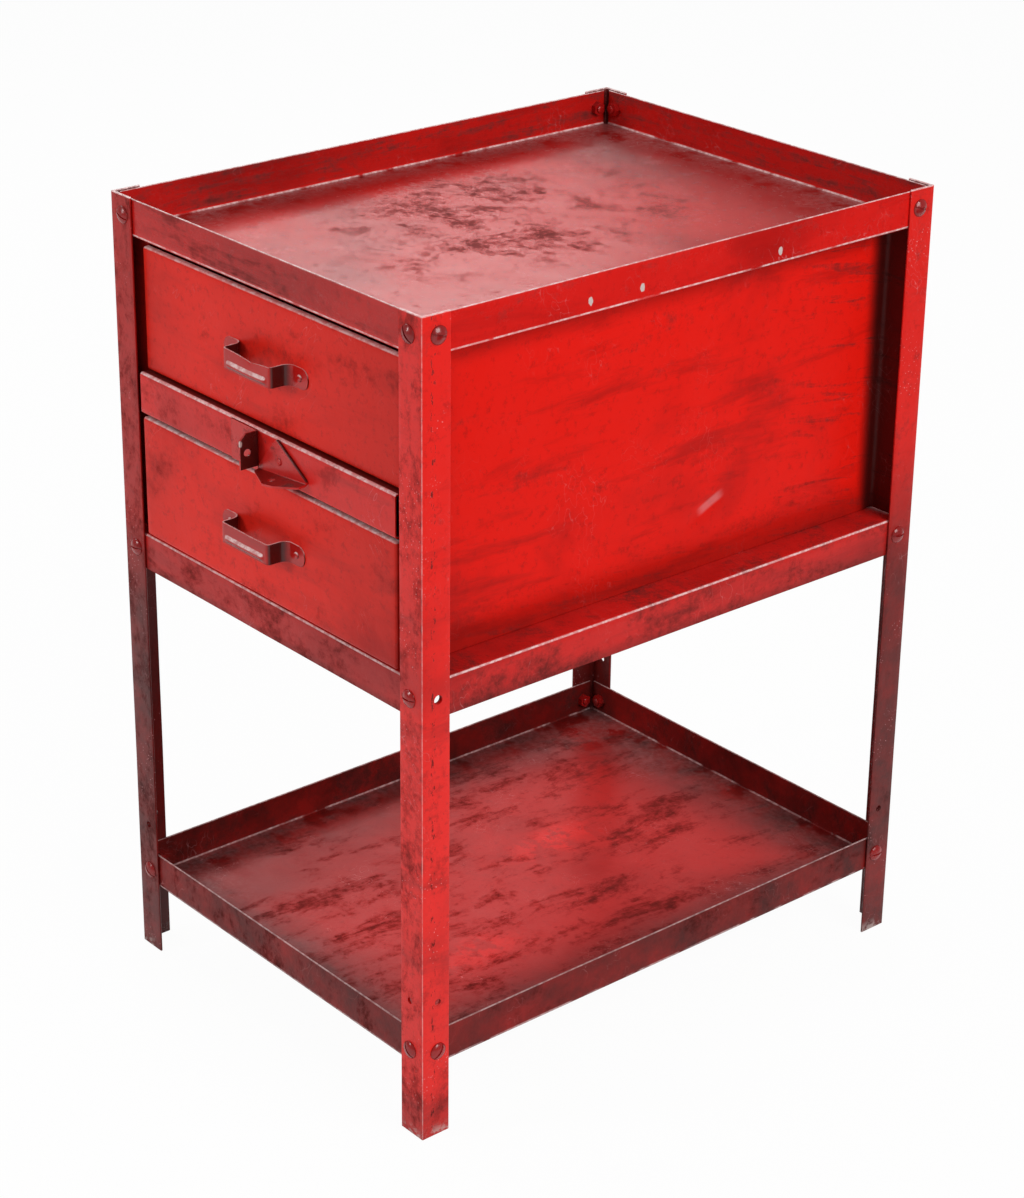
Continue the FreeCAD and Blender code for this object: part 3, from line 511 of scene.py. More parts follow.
def shelf_marks(recipe):
    """Dirt brushed along, painted shade towards the corners, on the left front part and on the rims,
    wiped patches, and pale folds and edges of rubbed paint and painted highlight.
    """
    brushed = recipe.spread((24, 8, 12), (0, 0, 0.08))
    soot = recipe.ramp(recipe.noise(1.0, 8.0, 0.76, brushed, 0.3), 0.38, 0.74) * 0.85
    # Painted shade: darker towards the corners, on the left front part and on the rims.
    corner = (recipe.ramp(abs(recipe.x), 0.110, 0.222)
              | recipe.ramp(abs(recipe.y - MIDDLE_Y), 0.180, 0.300))
    corner = corner * (recipe.noise(14.0, 6.0, 0.7) * 1.2 + 0.15)
    left = recipe.ramp(recipe.x, -0.20, 0.08, 0.50, 0.0) * recipe.ramp(recipe.y, -0.25, 0.05, 1.0, 0.0)
    rims = recipe.ramp(recipe.z, SHELF_FLOOR + 0.001, SHELF_FLOOR + 0.004, 0.0, 0.42)
    wiped = (recipe.spot((-0.02, 0.08, SHELF_FLOOR), (0.04, 0.10, 0.1), 1.2, 0.9)
             | recipe.spot((0.10, -0.13, SHELF_FLOOR), (0.035, 0.08, 0.1), 1.3, 0.9))
    wiped = wiped * recipe.ramp(recipe.noise(30.0, 6.0, 0.7), 0.44, 0.56)
    fold = recipe.near(recipe.z, SHELF_FLOOR + 0.0010, 0.0012)
    fold = fold * recipe.ramp(recipe.noise(25.0, 3.0, 0.6), 0.4, 0.5)
    return dict(soot=soot, clean=wiped * 0.8, shade=corner | left | rims,
                # top edges and folds: rubbed paint and painted highlight
                worn_and_highlight=(recipe.near(recipe.z, SHELF_TOP, 0.0009) | fold) * 0.55)


print("tray and shelf are marked")


# %% Marks of the cabinet
def panel_marks(recipe):
    """Brush strokes towards the rear, long drifts, darker paint low down, painted shade at the front
    and rear ends, at the foot and under the top, and a painted glint at the dent.
    """
    brush = recipe.spread((1, 5, 60), (0.16, 0, 0))
    strokes = recipe.ramp(recipe.noise(1.6, 5.0, 0.6, brush, 0.4), 0.48, 0.66)
    rear = recipe.ramp(recipe.y, 0.05, 0.28) * 0.6
    drift = recipe.noise(1.0, 6.0, 0.62, recipe.spread((1, 6, 22), (0.12, 0, 0)), 0.8)
    drift = recipe.ramp(drift, 0.46, 0.72, 0.0, 0.40)
    low = recipe.ramp(recipe.noise(2.2, 5.0, 0.6, brush), 0.42, 0.62)
    low = low * recipe.ramp(recipe.z, BASE_TOP + 0.002, BASE_TOP + 0.095, 0.40, 0.0)
    # Painted shade at the rear and front ends, at the foot and under the top.
    off_back = recipe.ramp(abs(recipe.x), 0.1905, 0.1920)
    rear_end = recipe.ramp(recipe.y, 0.272, 0.292, 0.0, 0.92) * off_back
    front_end = recipe.ramp(recipe.y, -0.283, -0.220, 0.50, 0.0)
    foot = recipe.ramp(recipe.z, BASE_TOP + 0.002, BASE_TOP + 0.040, 0.50, 0.0)
    head = recipe.ramp(recipe.z, BASE_TOP + 0.260, BASE_TOP + 0.295, 0.0, 0.35)
    # A painted highlight: a pale glint along the dent.
    lit = (DENT_PLACE[0] + 0.004, DENT_PLACE[1] + 0.004)
    along, across = turned(recipe.y, recipe.z, lit, DENT_LEAN)
    glint = recipe.near(along, 0.0, 0.020) * recipe.near(across, 0.0, 0.0060)
    return dict(soot=strokes * rear | drift | low, shade=rear_end | front_end | foot | head,
                pale=glint * recipe.ramp(recipe.x, 0.10, 0.11) * 0.34)


def front_marks(recipe):
    """Soft drifts, painted shade towards both ends and the right, and a painted highlight along the
    upward faces of the top edge.
    """
    soft = recipe.noise(1.0, 4.0, 0.55, recipe.spread((7, 7, 16), (0, 0.1, 0)))
    soft = recipe.ramp(soft, 0.42, 0.68)
    # Painted shade towards both ends and towards the right.
    ends = recipe.ramp(abs(recipe.x), 0.10, 0.196, 0.0, 0.65) * (soft * 0.5 + 0.2)
    return dict(soot=soft * 0.42, shade=ends | recipe.ramp(recipe.x, 0.02, 0.196, 0.0, 0.22),
                # a painted highlight on the faces that look up, along the top edge
                worn_and_highlight=recipe.ramp(recipe.faces_z, 0.35, 0.75))


def rail_marks(recipe):
    """A painted highlight along the upper fold, painted shade on the top behind it and on the underside."""
    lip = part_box("divider_rail")[0][1] + 0.0032
    # Painted shade on the top behind the lip and on the underside, and a painted highlight on the upper fold.
    top = recipe.ramp(recipe.faces_z, 0.90, 0.98, 0.0, 0.85) * recipe.ramp(recipe.y, lip, lip + 0.001)
    return dict(soot=grime(recipe, 14.0, 0.38, 0.72, 8.0) * 0.6,
                worn_and_highlight=recipe.ramp(recipe.faces_z, 0.35, 0.6) * recipe.ramp(recipe.y, lip, lip + 0.001, 1.0, 0.0),
                shade=top | recipe.ramp(recipe.faces_z, -0.9, -0.4, 0.85, 0.0))


def base_marks(recipe):
    """Darkened paint, painted shade along the lower edge and on the front face, and a painted
    highlight along the upper fold.
    """
    # A painted highlight along the upper fold, and painted shade along the lower edge and on the front face.
    fold = recipe.ramp(recipe.z, BASE_TOP - 0.0028, BASE_TOP - 0.0012)
    return dict(soot=grime(recipe, 12.0, 0.30, 0.74, 1.2, 7.0, 0.76, (1, 1, 2)) * 0.75,
                worn_and_highlight=fold * recipe.near(recipe.z, BASE_TOP - 0.0014, 0.0012),
                shade=(recipe.ramp(recipe.z, BASE_LOW, BASE_LOW + 0.014, 0.45, 0.0)
                       | recipe.ramp(recipe.faces_y, -0.7, -0.5, 0.20, 0.0)))


print("panels, fronts, rail and base are marked")


# %% Marks of the legs, the lock and the pulls
def leg_marks(recipe):
    """Darker inside the angle; painted shade low down and on the left legs, but not on the front
    right leg, which stands in the light, and painted shade near the floor on all legs; a spotted
    front; a pale outer corner and top of rubbed paint and painted highlight, and chipped feet."""
    aside, off_middle = abs(recipe.x), abs(recipe.y - MIDDLE_Y)
    outer = recipe.ramp(aside, LEG_X - 0.0010, LEG_X - 0.0002) * recipe.ramp(off_middle, LEG_Y - 0.0010, LEG_Y - 0.0002)
    inner = (recipe.ramp(aside, LEG_X - 0.0024, LEG_X - 0.0021, 1.0, 0.0)
             * recipe.ramp(off_middle, LEG_Y - 0.0024, LEG_Y - 0.0021, 1.0, 0.0))
    # Painted shade low down and on the left legs, but not on the front right leg, and near the floor on all legs.
    front_right = recipe.ramp(recipe.x, 0.1, 0.11) * recipe.ramp(recipe.y, -0.2, -0.19, 1.0, 0.0)
    upper = recipe.ramp(recipe.x, -0.01, 0.01, 0.48, 0.10)
    dark = (recipe.ramp(recipe.z, 0.36, 0.62, 0.86, 0.0) | upper) * (front_right * -1.0 + 1.0)
    dark = dark | recipe.ramp(recipe.z, 0.0, 0.07, 0.40, 0.0)
    dark = dark * (recipe.noise(14.0, 6.0, 0.7) * 0.8 + 0.60)
    soot = grime(recipe, 12.0, 0.40, 0.72, 4.4, 7.0, 0.7, (1, 1, 0.6)) * 0.5
    patina = (recipe.ramp(recipe.faces_y, -0.7, -0.5, 0.85, 0.0)
              * grime(recipe, 34.0, 0.30, 0.70, 8.8, 7.0, 0.78, (1, 1, 0.5)))
    rubbed = recipe.near(recipe.x, LEG_X, 0.0012) * recipe.near(recipe.y, LEG_FRONT + 0.01225, 0.0040)
    pits = rubbed * recipe.ramp(recipe.noise(1.0, 6.0, 0.7, recipe.spread((200, 200, 90))), 0.54, 0.60)
    specks = speckle(recipe, 300.0, 0.20, 0.4) * recipe.ramp(recipe.noise(22.0, 3.0, 0.6), 0.52, 0.64)
    feet = recipe.ramp(recipe.z, 0.0, 0.014, 1.0, 0.0) * recipe.ramp(recipe.noise(90.0, 4.0, 0.7), 0.45, 0.6)
    return dict(shade=dark | inner * 0.90, soot=soot | patina * 0.8 | pits * 0.9,
                # the outer corner and the top: rubbed paint and painted highlight
                worn_and_highlight=outer * 0.5 | recipe.near(recipe.z, LEG_TOP, 0.0012), pale=specks * 0.7,
                chip=feet * 0.6)


def lock_marks(recipe):
    """The ear's sides are nearly black with painted shade, a painted shadow runs along the plate's
    slanting edge, faces that look up are darker, and the plate's middle keeps its red.
    """
    # Painted shade on the ear's sides, a painted shadow along the plate's slanting edge, and darker faces that look up.
    ear = recipe.ramp(recipe.x, -0.0024, -0.0020, 1.0, 0.0) * recipe.ramp(abs(recipe.faces_x), 0.6, 0.9)
    _, across = turned(recipe.x, recipe.z, LOCK_SLOPE_AT, LOCK_SLOPE)
    slope = recipe.near(across, 0.0002, 0.0022) * recipe.ramp(recipe.x, 0.020, 0.024)
    above = recipe.ramp(recipe.faces_z, 0.5, 0.9, 0.0, 0.62)
    return dict(soot=grime(recipe, 60.0, 0.46, 0.66, 2.0, 6.0, 0.7) * 0.6,
                chip=recipe.spot((-0.0035, -0.3188, 0.6225), (0.004, 0.0022, 0.0035), 0.5, 0.4),
                shade=ear * 0.93 | slope * 0.9 | above)


def pull_marks(recipe):
    """Painted shade in the bends, behind the grip and underneath; the upward faces of the top edge
    and the bead are pale, a painted highlight with some rubbed paint.
    """
    # Painted shade in the bends, behind the grip and underneath, and a painted highlight with some rubbed paint on the
    # faces that look up.
    bends = recipe.ramp(abs(recipe.faces_x), 0.42, 0.99, 0.0, 0.92)
    behind = recipe.ramp(recipe.faces_y, 0.2, 0.6, 0.0, 0.9)
    under = recipe.ramp(recipe.faces_z, -0.55, -0.15, 0.6, 0.0)
    return dict(shade=bends | behind | under, worn_and_highlight=recipe.ramp(recipe.faces_z, 0.16, 0.50))


print("legs, lock and pulls are marked")

# %% The finishes
FINISH = {}


def finish(slot, red, **facts):
    """The paint of one material slot of the model."""
    FINISH[slot] = enamel(slot, red, **facts)


finish("tray_enamel", (0.68, 0.011, 0.008), soil=(0.11, 0.011, 0.009), dark=0.25, stain=0.06, gloss=0.22,
       specular=0.28, places=tray_marks, wave=0.0006)
finish("shelf_enamel", (0.58, 0.014, 0.011), dark=0.30, stain=0.10, gloss=0.38, specular=0.20, places=shelf_marks)
finish("panel_enamel", (0.79, 0.009, 0.004), dark=0.22, stain=0.03, lines=0.14, streaks=0.42, along=(1, 2, 12),
       gloss=0.36, specular=0.15, places=panel_marks)
finish("drawer_enamel", (0.82, 0.020, 0.010), dark=0.18, stain=0.03, streaks=0.25, gloss=0.34, specular=0.16,
       places=front_marks)
finish("rail_enamel", (0.70, 0.014, 0.010), dark=0.3, stain=0.2, gloss=0.32, specular=0.30, places=rail_marks)
finish("leg_enamel", (0.82, 0.014, 0.009), dark=0.20, stain=0.10, gloss=0.34, specular=0.32, places=leg_marks)
finish("base_enamel", (0.62, 0.015, 0.012), dark=0.30, stain=0.1, gloss=0.36, specular=0.30, places=base_marks)
finish("box_paint", (0.24, 0.012, 0.010), dark=0.4, stain=0.4, gloss=0.42)
finish("pull_enamel", (0.52, 0.008, 0.006), dark=0.25, stain=0.10, gloss=0.18, specular=0.40, places=pull_marks,
       wave=0.0003)
finish("lock_enamel", (0.62, 0.012, 0.009), dark=0.3, stain=0.2, gloss=0.26, specular=0.45, places=lock_marks,
       wave=0.0003)
finish("fastener_enamel", (0.30, 0.008, 0.008), dark=0.35, stain=0.35, gloss=0.16, specular=0.5, wave=0.0002)
finish("runner_steel", (0.20, 0.18, 0.16), deep=(0.10, 0.08, 0.07), dark=0.2, stain=0.4, gloss=0.45)
for subpart in frame["record"]["subparts"]:
    materials = frame["nodes"][subpart["node"]].data.materials
    materials.clear()
    materials.append(FINISH[subpart["material_slot"]])
print("finishes:", ", ".join(FINISH))

# %% [markdown]
# ## Sheets and bars as surfaces
#
# Nearly everything here is folded from sheet steel. Such a piece is easiest as the middle surface
# of the sheet: a profile with rounded folds, carried along a straight line. A small slow wave is
# added to the flat parts, because old sheet is never quite flat and its gloss shows it. After that
# Solidify gives the sheet its thickness and Bevel softens the cut edges, where the paint shines.

# %% Grids to meshes
SHARP_FROM = math.radians(50)


def to_mesh(name, grids, slot, paint_slot=None, caps=()):
    """Join rectangular grids of points into one mesh. Points that fall on each other are made one.
    caps holds flat rings of points, each closed with one face. paint_slot is for a piece that was
    painted with another piece's paint."""
    points, faces, start = [], [], 0
    for grid in grids:
        rows, columns = grid.shape[:2]
        index = start + np.arange(rows * columns).reshape(rows, columns)
        quads = np.stack([index[:-1, :-1], index[1:, :-1], index[1:, 1:], index[:-1, 1:]], axis=-1)
        points.append(grid.reshape(-1, 3))
        faces.append(quads.reshape(-1, 4))
        start += rows * columns
    rings = []
    for ring in caps:
        points.append(ring)
        rings.append(start + np.arange(len(ring)))
        start += len(ring)
    cloud = np.concatenate(points)
    _, first, where = np.unique(np.round(cloud, 6), axis=0, return_index=True, return_inverse=True)
    where = where.reshape(-1)
    cells = where[np.concatenate(faces)].tolist() + [where[ring].tolist() for ring in rings]
    cells = [list(dict.fromkeys(cell)) for cell in cells]
    mesh = bpy.data.meshes.new(name)
    mesh.from_pydata(cloud[first].tolist(), [], [cell for cell in cells if len(cell) > 2])
    mesh.materials.append(FINISH[paint_slot or slot])
    made = shown(name, mesh)
    return align_faces(made)


def align_faces(made):
    """Make neighbouring faces agree and a closed shell face outwards, and shade it smoothly."""
    work = bmesh.new()
    work.from_mesh(made.data)
    bmesh.ops.recalc_face_normals(work, faces=work.faces)
    work.to_mesh(made.data)
    work.free()
    made.data.polygons.foreach_set("use_smooth", np.ones(len(made.data.polygons), dtype=bool))
    return made


def thicken(made, thickness, edge=0.0004, steps=2):
    """Give a middle surface its thickness, half to each side, then round its edges. A closed piece
    has no thickness to get."""
    if thickness:
        wall = made.modifiers.new("wall", "SOLIDIFY")
        wall.thickness, wall.offset = thickness, 0.0
        wall.use_even_offset = True
    soft = made.modifiers.new("edge", "BEVEL")
    soft.width, soft.segments = edge, steps
    soft.limit_method, soft.angle_limit = "ANGLE", SHARP_FROM
    soft.harden_normals = True
    return made


print("grids become meshes, and meshes get a thickness and soft edges")


# %% Holes
DRILL_LENGTH = 0.02


def drill(made, holes):
    """Cut round holes (centre, direction, radius) right through a finished piece."""
    for centre, direction, radius in holes:
        tool = bpy.data.meshes.new("drill")
        work = bmesh.new()
        turn = Vector(direction).to_track_quat("Z", "Y").to_matrix().to_4x4()
        bmesh.ops.create_cone(work, cap_ends=True, segments=40, radius1=radius, radius2=radius,
                              depth=DRILL_LENGTH, matrix=Matrix.Translation(centre) @ turn)
        work.to_mesh(tool)
        work.free()
        bit = shown("drill", tool)
        cut = made.modifiers.new("hole", "BOOLEAN")
        cut.operation, cut.solver, cut.object = "DIFFERENCE", "EXACT", bit
        bpy.context.view_layer.update()
        shape = bpy.data.meshes.new_from_object(made.evaluated_get(bpy.context.evaluated_depsgraph_get()))
        made.modifiers.clear()
        made.data = shape
        bpy.data.objects.remove(bit)
        bpy.data.meshes.remove(tool)
    return made


print("holes are cut by a drill %.0f mm long" % (DRILL_LENGTH * 1000))


# %% Profiles and waves
def folded(corners, radii, steps=5):
    """A profile of straight runs joined by arcs. Each corner is cut back by radius * tan(half the
    turn) along both runs, and the arc between is sampled at equal angles."""
    corners = np.array(corners, float)
    path = [corners[0]]
    for here, radius in zip(range(1, len(corners) - 1), radii):
        come = corners[here] - corners[here - 1]
        leave = corners[here + 1] - corners[here]
        come, leave = come / np.linalg.norm(come), leave / np.linalg.norm(leave)
        turn = math.acos(np.clip(come @ leave, -1, 1))
        begin = corners[here] - come * radius * math.tan(turn / 2)
        inward = leave - come * (come @ leave)
        inward = inward / np.linalg.norm(inward)
        angles = np.linspace(0, turn, steps)[:, None]
        path.extend(begin + radius * (np.sin(angles) * come + (1 - np.cos(angles)) * inward))
    path.append(corners[-1])
    return np.array(path)


def sampled(path, spacing):
    """The same profile with extra points, so that no run is longer than spacing."""
    parts = [path[:1]]
    for begin, end in zip(path[:-1], path[1:]):
        count = max(1, int(math.ceil(np.linalg.norm(end - begin) / spacing)))
        parts.append(begin + (end - begin) * np.linspace(0, 1, count + 1)[1:, None])
    return np.concatenate(parts)


def swell(grid, height, length, seed):
    """A slow wave for flat sheet: the sum of five sines of different directions, each with a
    wavelength near length, scaled to height. It is worked out from the points' own places."""
    rng = np.random.default_rng(seed)
    total = np.zeros(grid.shape[:-1])
    for _ in range(5):
        way = rng.normal(size=3)
        way *= 2 * math.pi / (length * rng.uniform(0.7, 1.6) * np.linalg.norm(way))
        total += np.sin(grid @ way + rng.uniform(0, 6.28))
    return total * height / 5


def carried(path, run):
    """A profile carried along a line: its two coordinates and the place along the line, as grids."""
    shape = (len(path), len(run))
    return (np.broadcast_to(path[:, :1], shape), np.broadcast_to(path[:, 1:], shape),
            np.broadcast_to(run, shape))


def inner(values, reach):
    """1 in the middle of a range, falling to 0 at its ends, as a cosine of the place along it."""
    middle = (values.max() + values.min()) / 2
    return np.cos(np.clip((values - middle) / reach, -1, 1) * math.pi / 2)


print("profiles are folded, sampled and carried along, and flat sheet gets a swell")

# %% [markdown]
# ### The pans
#
# Tray, cabinet base and shelf are each one sheet with four sides folded over, and a small square is
# missing at each corner where the blank was notched. The middle surface is five grids that share
# their edges: the floor, and one strip for each side that starts flat, turns through the fold and
# stands up. The floor dips a little in its middle, and the rims lean by part of a millimetre.

# %% The tray, the base and the shelf
SHEET = 0.0015
FOLD = 0.00225          # radius of the fold's middle surface
HELD_BY_LEG = 0.03      # a rim keeps straight this far from its end
FLOOR_SAG = 0.0006
HOLE_INSET = 0.018      # a bolt's axis from the leg's outer corner
TRAY_BOLTS, BASE_BOLTS, SHELF_BOLTS = 0.781, 0.4475, 0.090      # levels of the bolts
PAN_HOLE, LEG_HOLE = 0.0042, 0.0045
LOST_BOLT = (HALF_WIDTH, LEG_FRONT + HOLE_INSET, BASE_BOLTS)


def pan_grids(low, high, notch, sag, wave, seed):
    """The five grids of a pan that fills the box low..high. On the floor z falls by
    sag * cos * cos across the middle, and the rims move inwards by a wave that is zero near the
    legs and grows with height above the fold."""
    half_x, half_y = (high[0] - low[0]) / 2 - SHEET / 2, (high[1] - low[1]) / 2 - SHEET / 2
    rise = high[2] - low[2] - SHEET / 2
    edge_x, edge_y = half_x + SHEET / 2 - notch, half_y + SHEET / 2 - notch
    xs, ys = np.linspace(-edge_x, edge_x, 61), np.linspace(-edge_y, edge_y, 81)
    x, y = np.meshgrid(xs, ys, indexing="ij")
    flat = np.stack([x, y, np.zeros_like(x)], axis=-1)
    flat[..., 2] = (swell(flat, wave, 0.16, seed) - sag) * inner(x, edge_x) * inner(y, edge_y)
    grids = [flat]
    for half, edge, run, across in ((half_x, edge_x, ys, 0), (half_y, edge_y, xs, 1)):
        path = sampled(folded([(edge, 0), (half, 0), (half, rise)], [FOLD]), 0.006)
        for side in (-1, 1):
            out, up, along = carried(path, run)
            free = np.clip((run.max() - HELD_BY_LEG - np.abs(along)) / (2 * HELD_BY_LEG), 0, 1)
            free = free * free * (3 - 2 * free) * up / rise
            place = np.stack([along, up, np.full_like(up, side * (1 + across))], axis=-1)
            out = side * (out - free * np.abs(swell(place, wave * 2.2, 0.24, seed + side + 5 * across)))
            parts = (out, along) if across == 0 else (along, out)
            grids.append(np.stack([parts[0], parts[1], up], axis=-1))
    return grids


def pan_piece(name, node, slot, notch, wave, seed, upside_down=False):
    """A pan in its node's place."""
    low, high = np.array(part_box(node))
    grids = pan_grids(low, high, notch, FLOOR_SAG, wave, seed)
    middle_y = (high[1] + low[1]) / 2
    if upside_down:
        grids = [grid * (1, 1, -1) + (0, middle_y, high[2] - SHEET / 2) for grid in grids]
    else:
        grids = [grid + (0, middle_y, low[2] + SHEET / 2) for grid in grids]
    made = thicken(to_mesh(name, grids, slot), SHEET, 0.00035)
    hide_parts(node)
    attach(made, "root")
    return made


tray = pan_piece("tray_sheet", "top_tray", "tray_enamel", 0.005, 0.00025, 3)
shelf = pan_piece("shelf_sheet", "lower_shelf", "shelf_enamel", 0.004, 0.00030, 8)
base = pan_piece("base_sheet", "cabinet_base", "base_enamel", 0.005, 0.00025, 12, True)
drill(base, [(LOST_BOLT, (1, 0, 0), PAN_HOLE)])
print("pans:", [len(piece.data.vertices) for piece in (tray, shelf, base)], "points")

# %% [markdown]
# ### The cabinet's sides
#
# Each side is a flat sheet folded out to the legs at its two ends and in at its top and bottom. The
# right one has a dent low down behind its middle, a short crease that leans to the rear. It is a
# narrow valley: depth times a bell curve along the crease, times a bell curve across it.

# %% Side panels
THIN = 0.0012
PANEL_FACE, FLANGE_END = 0.1935, 0.2268      # from the middle of the stand
TOP_FLANGE = 0.0130
DENT_LENGTH, DENT_WIDTH = 0.018, 0.0065
panel_low, panel_high = (np.array(corner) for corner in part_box("cabinet_side_right"))


def side_grids(depth, seed):
    """Five grids in (y, z) with the outside towards +x: the flat, its two ends and its folds."""
    face = PANEL_FACE - THIN / 2
    front, rear = panel_low[1] + THIN / 2, panel_high[1] - THIN / 2
    low, high = panel_low[2] + THIN / 2, panel_high[2] - THIN / 2
    begin, end, step = front + 0.0040, rear - 0.0075, 0.0009
    ys, zs = np.linspace(begin, end, 110), np.linspace(low + step, high - step, 60)
    y, z = np.meshgrid(ys, zs, indexing="ij")
    free = inner(y, (end - begin) / 2) ** 0.5 * inner(z, (high - low) / 2 - step) ** 0.5
    flat = np.stack([np.full_like(y, face), y, z], axis=-1)
    flat[..., 0] += swell(flat, 0.0007, 0.25, seed) * free
    along, across = turned(y, z, DENT_PLACE, DENT_LEAN)
    flat[..., 0] -= depth * np.exp(-(along / DENT_LENGTH) ** 2 - (across / DENT_WIDTH) ** 2) * free
    grids = [flat]
    for last, corner, radius in ((begin, front, 0.0022), (end, rear, 0.0056)):
        path = folded([(last, face), (corner, face), (corner, FLANGE_END)], [radius])
        y, x, z = carried(sampled(path, 0.006), zs)
        grids.append(np.stack([x, y, z], axis=-1))
    for edge, away in ((low, 1), (high, -1)):
        path = folded([(face, edge + away * step), (face, edge), (face - TOP_FLANGE, edge)], [0.0008])
        x, z, y = carried(sampled(path, 0.004), ys)
        grids.append(np.stack([x, y, z], axis=-1))
    return grids


for word, side, depth, seed in (("right", 1, 0.0022, 21), ("left", -1, 0.0, 33)):
    grids = [grid * (side, 1, 1) for grid in side_grids(depth, seed)]
    panel = thicken(to_mesh("side_sheet_" + word, grids, "panel_enamel"), THIN, 0.0003)
    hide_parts("cabinet_side_" + word)
    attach(panel, "root")
print("side sheets:", len(panel.data.vertices), "points each")

# %% [markdown]
# ### Drawer fronts and the rail
#
# A drawer front is pressed like a shallow lid. Its flat face meets the four folded edges in quarter
# rounds, and at each corner two rounds meet in an eighth of a ball. The face bulges forward by a
# fraction of a millimetre and bends as the light shows. The rail is one channel, carried along X.

# %% Fronts and rail
FRONT_ROUND = 0.0024


def lid_grids(half_width, half_height, deep, seed):
    """A lid in (x, z) whose face is at y = 0 and whose edges run to y = deep. Around the face, a
    point at angle t of the round lies out by r sin t and back by r (1 - cos t)."""
    a, b, r = half_width - FRONT_ROUND, half_height - FRONT_ROUND, FRONT_ROUND
    xs, zs = np.linspace(-a, a, 70), np.linspace(-b, b, 30)
    x, z = np.meshgrid(xs, zs, indexing="ij")
    face = np.stack([x, np.zeros_like(x), z], axis=-1)
    face[..., 1] = (swell(face, 0.0004, 0.14, seed) - 0.0003) * inner(x, a) ** 0.5 * inner(z, b) ** 0.5
    t = np.linspace(0, math.pi / 2, 6)
    edge = np.stack([np.append(r * np.sin(t), [r, r]),
                     np.append(r * (1 - np.cos(t)), [(r + deep) / 2, deep])], axis=-1)
    grids = [face]
    for side in (-1, 1):
        out, back, along = carried(edge, zs)
        grids.append(np.stack([side * (a + out), back, along], axis=-1))
        out, back, along = carried(edge, xs)
        grids.append(np.stack([along, back, side * (b + out)], axis=-1))
        out, back, turn = carried(edge, t)
        for other in (-1, 1):
            grids.append(np.stack([side * (a + out * np.cos(turn)), back,
                                   other * (b + out * np.sin(turn))], axis=-1))
    return grids


for word, seed in (("upper", 41), ("lower", 52)):
    node = word + "_drawer_front"
    low, high = np.array(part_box(node))
    half = (high - low) / 2
    grids = lid_grids(half[0] - THIN / 2, half[2] - THIN / 2, 2 * half[1] - THIN / 2, seed)
    centre = np.array([0, low[1] + THIN / 2, (low[2] + high[2]) / 2])
    grids = [grid + centre for grid in grids]
    front = thicken(to_mesh(word + "_front_sheet", grids, "drawer_enamel"), THIN, 0.0003)
    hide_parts(node)
    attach(front, word + "_drawer")

rail_low, rail_high = (np.array(corner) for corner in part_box("divider_rail"))
web, back_edge = rail_low[1] + SHEET / 2, rail_high[1]
bottom, top = rail_low[2] + SHEET / 2, rail_high[2] - SHEET / 2
path = folded([(back_edge, bottom), (web, bottom), (web, top), (back_edge, top)], [FOLD, FOLD])
y, z, x = carried(sampled(path, 0.004), np.linspace(rail_low[0], rail_high[0], 90))
x = x * np.where(y > web + 0.012, 0.992, 1.0)      # the flanges' back corners are drawn in
channel = np.stack([x, y, z], axis=-1)
channel[..., 1] += np.abs(swell(channel, 0.0003, 0.12, 61)) * (y < web + 0.003) * inner(x, 0.2)
rail = thicken(to_mesh("rail_sheet", [channel], "rail_enamel"), SHEET, 0.0003)
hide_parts("divider_rail")
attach(rail, "root")
print("fronts and rail:", len(front.data.vertices), len(rail.data.vertices), "points")

# %% [markdown]
# ### The legs
#
# Rolled angle iron has round toes, a fillet in its root and a worn outer corner, so here the whole
# outline is used, carried from the floor to the top. Its sides waver a little along the length, as
# hot rolled steel does. The holes that hold no bolt are drilled afterwards: two in each leg above
# the shelf, and the one in the front right leg whose bolt is lost.

# %% Legs
LEG_SIDE, LEG_WALL = 0.031, 0.0025
SPARE_LEVEL, SPARE_HOLE = 0.142, 0.0034


def angle_outline():
    """The closed outline of the angle iron, from the middle of one side all the way round."""
    s, w = LEG_SIDE, LEG_WALL
    corners = [(s / 2, 0), (s, 0), (s, w), (w, w), (w, s), (0, s), (0, 0), (s / 2, 0)]
    return folded(corners, [0.0004, 0.0016, 0.0025, 0.0016, 0.0004, 0.0008], 5)


def leg_piece(name, node, side, end, seed):
    """A leg in its node's place. side and end say at which corner of the stand it is."""
    low, high = np.array(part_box(node))
    outline = sampled(angle_outline(), 0.006)[:-1]
    levels = np.linspace(low[2], high[2], 161)
    corner = np.array([high[0] if side > 0 else low[0], high[1] if end > 0 else low[1]])
    in_x, in_y, z = carried(outline, levels)
    grid = np.stack([corner[0] - side * in_x, corner[1] - end * in_y, z], axis=-1)
    line = np.stack([np.zeros_like(levels), np.full_like(levels, seed * 0.1), levels], axis=-1)
    free = np.sin(np.clip((levels - 0.12) / 0.30, 0, 1) * math.pi) ** 2
    grid[..., 0] -= side * np.abs(swell(line, 0.0005, 0.22, seed)) * free
    grid[..., 1] -= end * np.abs(swell(line, 0.0005, 0.26, seed + 50)) * free
    ring = np.concatenate([grid, grid[:1]])
    made = to_mesh(name, [ring], "leg_enamel", caps=[grid[:, 0], grid[:, -1]])
    thicken(made, 0, 0.0003)
    inset_x, inset_y = corner[0] - side * HOLE_INSET, corner[1] - end * HOLE_INSET
    holes = [((inset_x, corner[1], SPARE_LEVEL), (0, 1, 0), SPARE_HOLE),
             ((corner[0], inset_y, SPARE_LEVEL), (1, 0, 0), SPARE_HOLE)]
    if side > 0 and end < 0:
        holes.append((LOST_BOLT, (1, 0, 0), LEG_HOLE))
    drill(made, holes)
    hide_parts(node)
    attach(made, "root")
    return made


